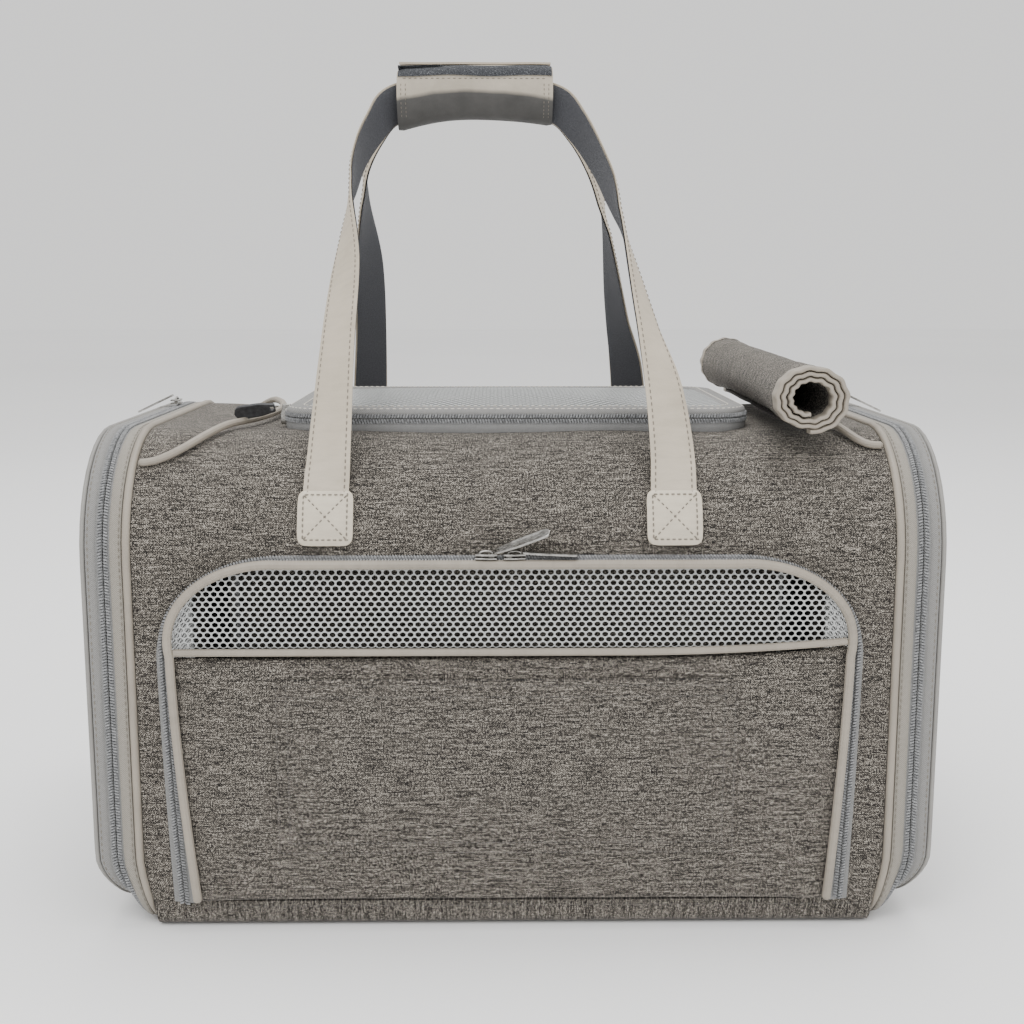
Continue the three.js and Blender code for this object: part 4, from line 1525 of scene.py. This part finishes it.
def strap_route():
    """A strap's middle line from the left patch through the grip to the right one."""
    foot_lift = 1.5
    low = along_at_height(PATCH_BOTTOM) + 6

    def foot(x, along):
        y, z = skin(1, along, foot_lift)
        return (x, y, z, 0)

    left, right, high = PATCH_X["left"], PATCH_X["right"], GRIP["height"]
    return [
        foot(left, low),
        foot(left, low + 10),
        foot(left, low + 22),
        (-98, 122.5, 258, -14),
        (-94.5, 102, 316, -38),
        (-92.5, 73, 357, -52),
        (-92.5, 43, 395, -85),
        (-88, 22, 422, -104),
        (-80, 12, 438, -114),
        (GRIP["left"] - 4, 8.5, high - 5.5, -118),
        (-56, 7, high - 1, -116),
        (-22, 7, high, -116),
        (13, 7, high - 1, -116),
        (GRIP["right"] + 4, 8.5, high - 5, -118),
        (38, 12, 439, -114),
        (47, 20, 424, -106),
        (55, 35, 405, -98),
        (62, 54, 380, -88),
        (73, 97, 324, -59),
        (80, 110, 293, -29),
        (84, 122, 258, -10),
        foot(right, low + 22),
        foot(right, low + 10),
        foot(right, low),
    ]


def strap_frames(side, steps=8):
    """Centres along a strap with the directions of its width and of its outer face."""
    route = strap_route()
    centres = catmull([Vector((x, side * y, z)) for x, y, z, _ in route], steps)
    twists = catmull([Vector((twist, 0, 0)) for *_, twist in route], steps)
    middle = (GRIP["left"] + GRIP["right"]) / 2
    frames = []
    for i, centre in enumerate(centres):
        twist = math.radians(twists[i].x)
        left = 1 if centre.x < middle else -1
        lean = min(max((abs(twist) - math.pi / 2) * 8, 0), 1)
        flat = Vector((math.cos(twist), left * side * -math.sin(twist), 0)) * left
        wide = flat.lerp(Vector((0, side * 0.45, 0.89)), lean)
        before, after = centres[max(i - 1, 0)], centres[min(i + 1, len(centres) - 1)]
        ahead = (after - before).normalized()
        wide = (wide - ahead * wide.dot(ahead)).normalized()
        frames.append((centre, wide, ahead.cross(wide) * side))
    return frames


def band_between(name, frames, half, near, far):
    """A flat band with rounded edges, between two distances out from a strap's middle."""
    upper, lower = [], []
    middle = (near + far) / 2
    for centre, wide, out in frames:
        upper.append([])
        lower.append([])
        for k in range(-5, 6):
            a = half * k / 5
            slim = 0.25 if abs(k) == 5 else 1.0
            upper[-1].append(centre + wide * a + out * (middle + (far - middle) * slim))
            lower[-1].append(centre + wide * a + out * (middle + (near - middle) * slim))
    band = slab(name, upper, lower)
    smooth(band, 60)
    return band


def strap(name, side):
    frames = strap_frames(side)
    face = band_between(f"strap_face_{name}", frames, STRAP_WIDTH / 2, -0.2, 1.2)
    dress(face, STRAP_FACE)
    hang(face, "shell", "strap", f"handle_strap_{name}")
    back = band_between(f"strap_lining_{name}", frames, STRAP_WIDTH / 2 - 0.8, -1.2, -0.25)
    dress(back, CANVAS)
    hang(back, "shell", "strap")
    rows = []
    for edge in (-1, 1):
        line = [c + wide * edge * (STRAP_WIDTH / 2 - 2.4) + out * 1.3 for c, wide, out in frames]
        rows.append(stitch_run("row", line, [out for *_, out in frames], 2.4, 3.4, 0.36))
    stitches = join(f"strap_stitches_{name}", rows)
    dress(stitches, TAN_THREAD_WITH_PAINTED_SHADE)
    hang(stitches, "shell", "strap")
    for piece in (face, back, stitches):
        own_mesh(piece)


def sleeve_ring(x, inset):
    """The wrapped grip's cross-section: full above, drawn in below, its underside arched."""
    left, right = GRIP["left"], GRIP["right"]
    share = (x - (left + right) / 2) / ((right - left) / 2)
    top = GRIP["height"] + GRIP["half"] - 2.6 * max(-share, 0.0) ** 1.6
    bottom = GRIP["height"] - 11.5 - (7.0 if share < 0 else 3.8) * share * share
    half_high, middle = (top - bottom) / 2, (top + bottom) / 2
    ring = []
    for k in range(40):
        angle = 2 * math.pi * k / 40
        c, s = math.cos(angle), math.sin(angle)
        bulk = (abs(c) ** 3.0 + abs(s) ** 3.0) ** (-1 / 3.0)
        wide = (GRIP["half"] - 0.5 - inset) * (1 - 0.38 * ease(-s))
        ring.append((x, wide * c * bulk, middle + (half_high - inset) * s * bulk))
    return ring


def grip():
    """The grip: a padded wrap with open ends, its fastener strip and the tucked flap."""
    left, right = GRIP["left"], GRIP["right"]
    places = [left + (right - left) * i / 32 for i in range(33)]
    outer = []
    for x in places:
        end = min(x - left, right - x)
        ring = sleeve_ring(x, 1.0 - ease(end / 3.0))
        outer.append([
            (a, b + ripple(a, b, c, 0.35, 26), c + ripple(a + 50, b, c, 0.35, 26)) for a, b, c in ring
        ])
    inner = [sleeve_ring(x, 3.2) for x in places]
    wrap = slab("grip_wrap_painted_shade", outer, inner, True)
    dress(wrap, WRAP_WITH_PAINTED_SHADE)
    smooth(wrap, 60)
    hang(wrap, "grip", "strap", "grip_sleeve")
    tree = surface_of(wrap)

    def front(x, z, lift):
        hit = tree.ray_cast(Vector((x * MM, -0.08, z * MM)), Vector((0, 1, 0)))[0]
        y = hit.y / MM if hit else -12
        return (x, min(y, -6) - lift, z)

    upper, lower = [], []
    for i in range(7):
        z = GRIP["height"] + 11.3 + 6.6 * i / 6
        row = [left + 0.6 + (right - left - 1.2) * j / 40 for j in range(41)]
        upper.append([front(x, z + 0.4 * math.sin(x * 0.13), 1.1) for x in row])
        lower.append([front(x, z + 0.4 * math.sin(x * 0.13), 0.0) for x in row])
    hook = slab("grip_hook_strip", upper, lower)
    dress(hook, HOOK)
    smooth(hook, 50)
    hang(hook, "grip", "strap")
    rows = []
    for x in (left + 2.5, left + 5.2, right - 2.5, right - 5.2):
        line = [front(x, GRIP["height"] - 12 + i * 2.4, 0.15) for i in range(9)]
        rows.append(stitch_run("row", line, [(0, -1, 0)] * len(line), 1.6, 2.4, 0.22))
    line = [front(left + 3 + i * 3, GRIP["height"] + 9.6, 0.1) for i in range(29)]
    rows.append(stitch_run("row", line, [(0, -1, 0)] * len(line), 2.0, 3.2, 0.25))
    stitches = join("grip_stitches", rows)
    dress(stitches, TAN_THREAD_WITH_PAINTED_SHADE)
    hang(stitches, "grip", "strap")
    upper, lower = [], []
    for i in range(9):
        y = -7 + 19 * i / 8
        xs = [left + 1 + (right - left - 2) * j / 40 for j in range(41)]
        sag = -0.4 * ((y - 2) / 10) ** 2
        upper.append([(x, y, GRIP["height"] + 20.7 + sag + ripple(x, y, 3.0, 0.25, 20)) for x in xs])
        lower.append([(x, y, GRIP["height"] + 19.5 + sag + ripple(x, y, 3.0, 0.25, 20)) for x in xs])
    flap = slab("grip_flap_cloth", upper, lower)
    dress(flap, STRAP_FACE)
    smooth(flap, 50)
    hang(flap, "grip_flap", "strap", "grip_flap")


# ---- cover roll, mat and board ----


def cover_roll():
    """The window cover, rolled three turns, its two bound edges rippled."""
    turns = 3.0
    front, back = ROLL["front"], ROLL["back"]
    bound = 9
    places = [front + d for d in (0, 0.5, 1.4, 3, 5, 7.5, bound, bound + 0.5)]
    places += [front + 12 + (back - front - 24) * i / 34 for i in range(35)]
    places += [back - d for d in (bound + 0.5, bound, 7.5, 5, 3, 1.4, 0.5, 0)]
    steps = int(84 * turns)
    upper, lower = [], []
    for y in places:
        edge = min(y - front, back - y)
        near = (back - y) / (back - front)
        thick = 2.8 * math.sqrt(min(1, 0.25 + edge / 1.6)) if edge <= bound else 1.6
        hole = ROLL["hole"] - 7 * ease((edge - 14) / 60)
        pitch = (ROLL["radius"] - hole) / turns
        scallop = 1.0 * ease(1 - edge / 20)
        size = 0.92 + 0.08 * near
        squat = 1 - 0.14 * near
        upper.append([])
        lower.append([])
        for k in range(steps + 1):
            angle = -0.5 * math.pi + 2 * math.pi * turns * k / steps
            radius = hole + pitch * turns * k / steps
            radius += scallop * math.sin(angle * 13 + 0.9 * math.sin(angle)) * 0.42
            radius += ripple(angle * 8, y, k * 0.05, 0.5, 24)
            radius = min(radius * size, ROLL["radius"] * 0.985)
            for rows, offset in ((upper, thick / 2), (lower, -thick / 2)):
                x = ROLL["x"] - (radius + offset) * math.cos(angle)
                z = ROLL["z"] - ROLL["radius"] * (1 - squat) + (radius + offset) * squat * math.sin(angle)
                push = scallop * 1.2 * math.sin(angle * 3 + 1) * (1 if y > 0 else -1)
                rows[-1].append((x, y + push * 0.6, z))
    roll = slab("cover_roll_cloth", upper, lower)
    dress(roll, HEATHER, BINDING)
    for face in roll.data.polygons:
        middle_y = face.center.y / MM
        if min(middle_y - front, back - middle_y) < bound:
            face.material_index = 1
    smooth(roll, 60)
    hang(roll, "cover_roll", "heather", "cover_roll")


def sleeping_mat():
    upper, lower = [], []
    for i in range(41):
        y = -120 + 6 * i
        half = 186 - 20 * (1 - math.sqrt(1 - max(0.0, (abs(y) - 100) / 20) ** 2))
        upper.append([(half * j / 31, y, 19) for j in range(-31, 32)])
        lower.append([(half * j / 31, y, 12) for j in range(-31, 32)])
    mat = slab("mat_pad", upper, lower)
    puff(mat, 3.2)
    for vertex in mat.data.vertices:
        vertex.co.z = max(vertex.co.z, 7.7 * MM)
    flat_cloth(mat, 0, 1)
    dress(mat, FLEECE)
    smooth(mat, 60)
    hang(mat, "mat", "fleece", "sleeping_mat")


def inner_parts():
    """The parts kept as they are: their finishes only."""
    dress(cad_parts["base_board"], BOARD)
    for name in ("left", "right"):
        dress(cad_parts[f"wire_hoop_{name}"], WIRE)


# ---- studio ----


def studio():
    bpy.ops.object.select_all(action="DESELECT")
    bpy.ops.mesh.primitive_plane_add(size=14, location=(0, 2.5, -0.0004))
    floor = bpy.context.object
    floor.name = "studio_floor"
    dress(floor, studio_floor())
    world = bpy.context.scene.world or bpy.data.worlds.new("studio")
    bpy.context.scene.world = world
    world.use_nodes = True
    world.node_tree.nodes["Background"].inputs[0].default_value = (1.0, 0.995, 0.985, 1)
    world.node_tree.nodes["Background"].inputs[1].default_value = 1.1
    for name, place, power, size in (
        ("key", (-0.6, -1.5, 2.1), 26, 1.2),
        ("fill", (1.2, -1.6, 1.1), 8, 1.3),
        ("top", (0.1, 0.3, 2.2), 32, 1.4),
    ):
        light = bpy.data.lights.new(name, "AREA")
        light.energy = power
        light.size = size
        lamp = bpy.data.objects.new(name, light)
        lamp.location = place
        lamp.rotation_euler = (Vector((0, 0, 0.2)) - Vector(place)).to_track_quat("-Z", "Y").to_euler()
        bpy.context.collection.objects.link(lamp)
    camera = bpy.data.objects.new("camera", bpy.data.cameras.new("camera"))
    camera.location = (-0.010, -0.846, 0.348)
    camera.rotation_euler = (math.radians(90 - 9.5), 0, math.radians(-0.7))
    camera.data.lens = 48.3
    camera.data.clip_start = 0.01
    bpy.context.collection.objects.link(camera)
    bpy.context.scene.camera = camera


studio()
body_cover()
bottom_tray()
rear_window()
shoulder_cord("shoulder_piping_left", -1)
shoulder_cord("shoulder_piping_right", 1)
door_front = door_panel()
door_net()
door_cords()
door_zip()
pocket(door_front)
top_door()
bag_end("left", -1)
bag_end("right", 1)
zip_hardware()
for strap_side, strap_name in ((-1, "front"), (1, "rear")):
    patch(f"{strap_name}_left", strap_side, PATCH_X["left"])
    patch(f"{strap_name}_right", strap_side, PATCH_X["right"])
    strap(strap_name, strap_side)
grip()
cover_roll()
sleeping_mat()
inner_parts()
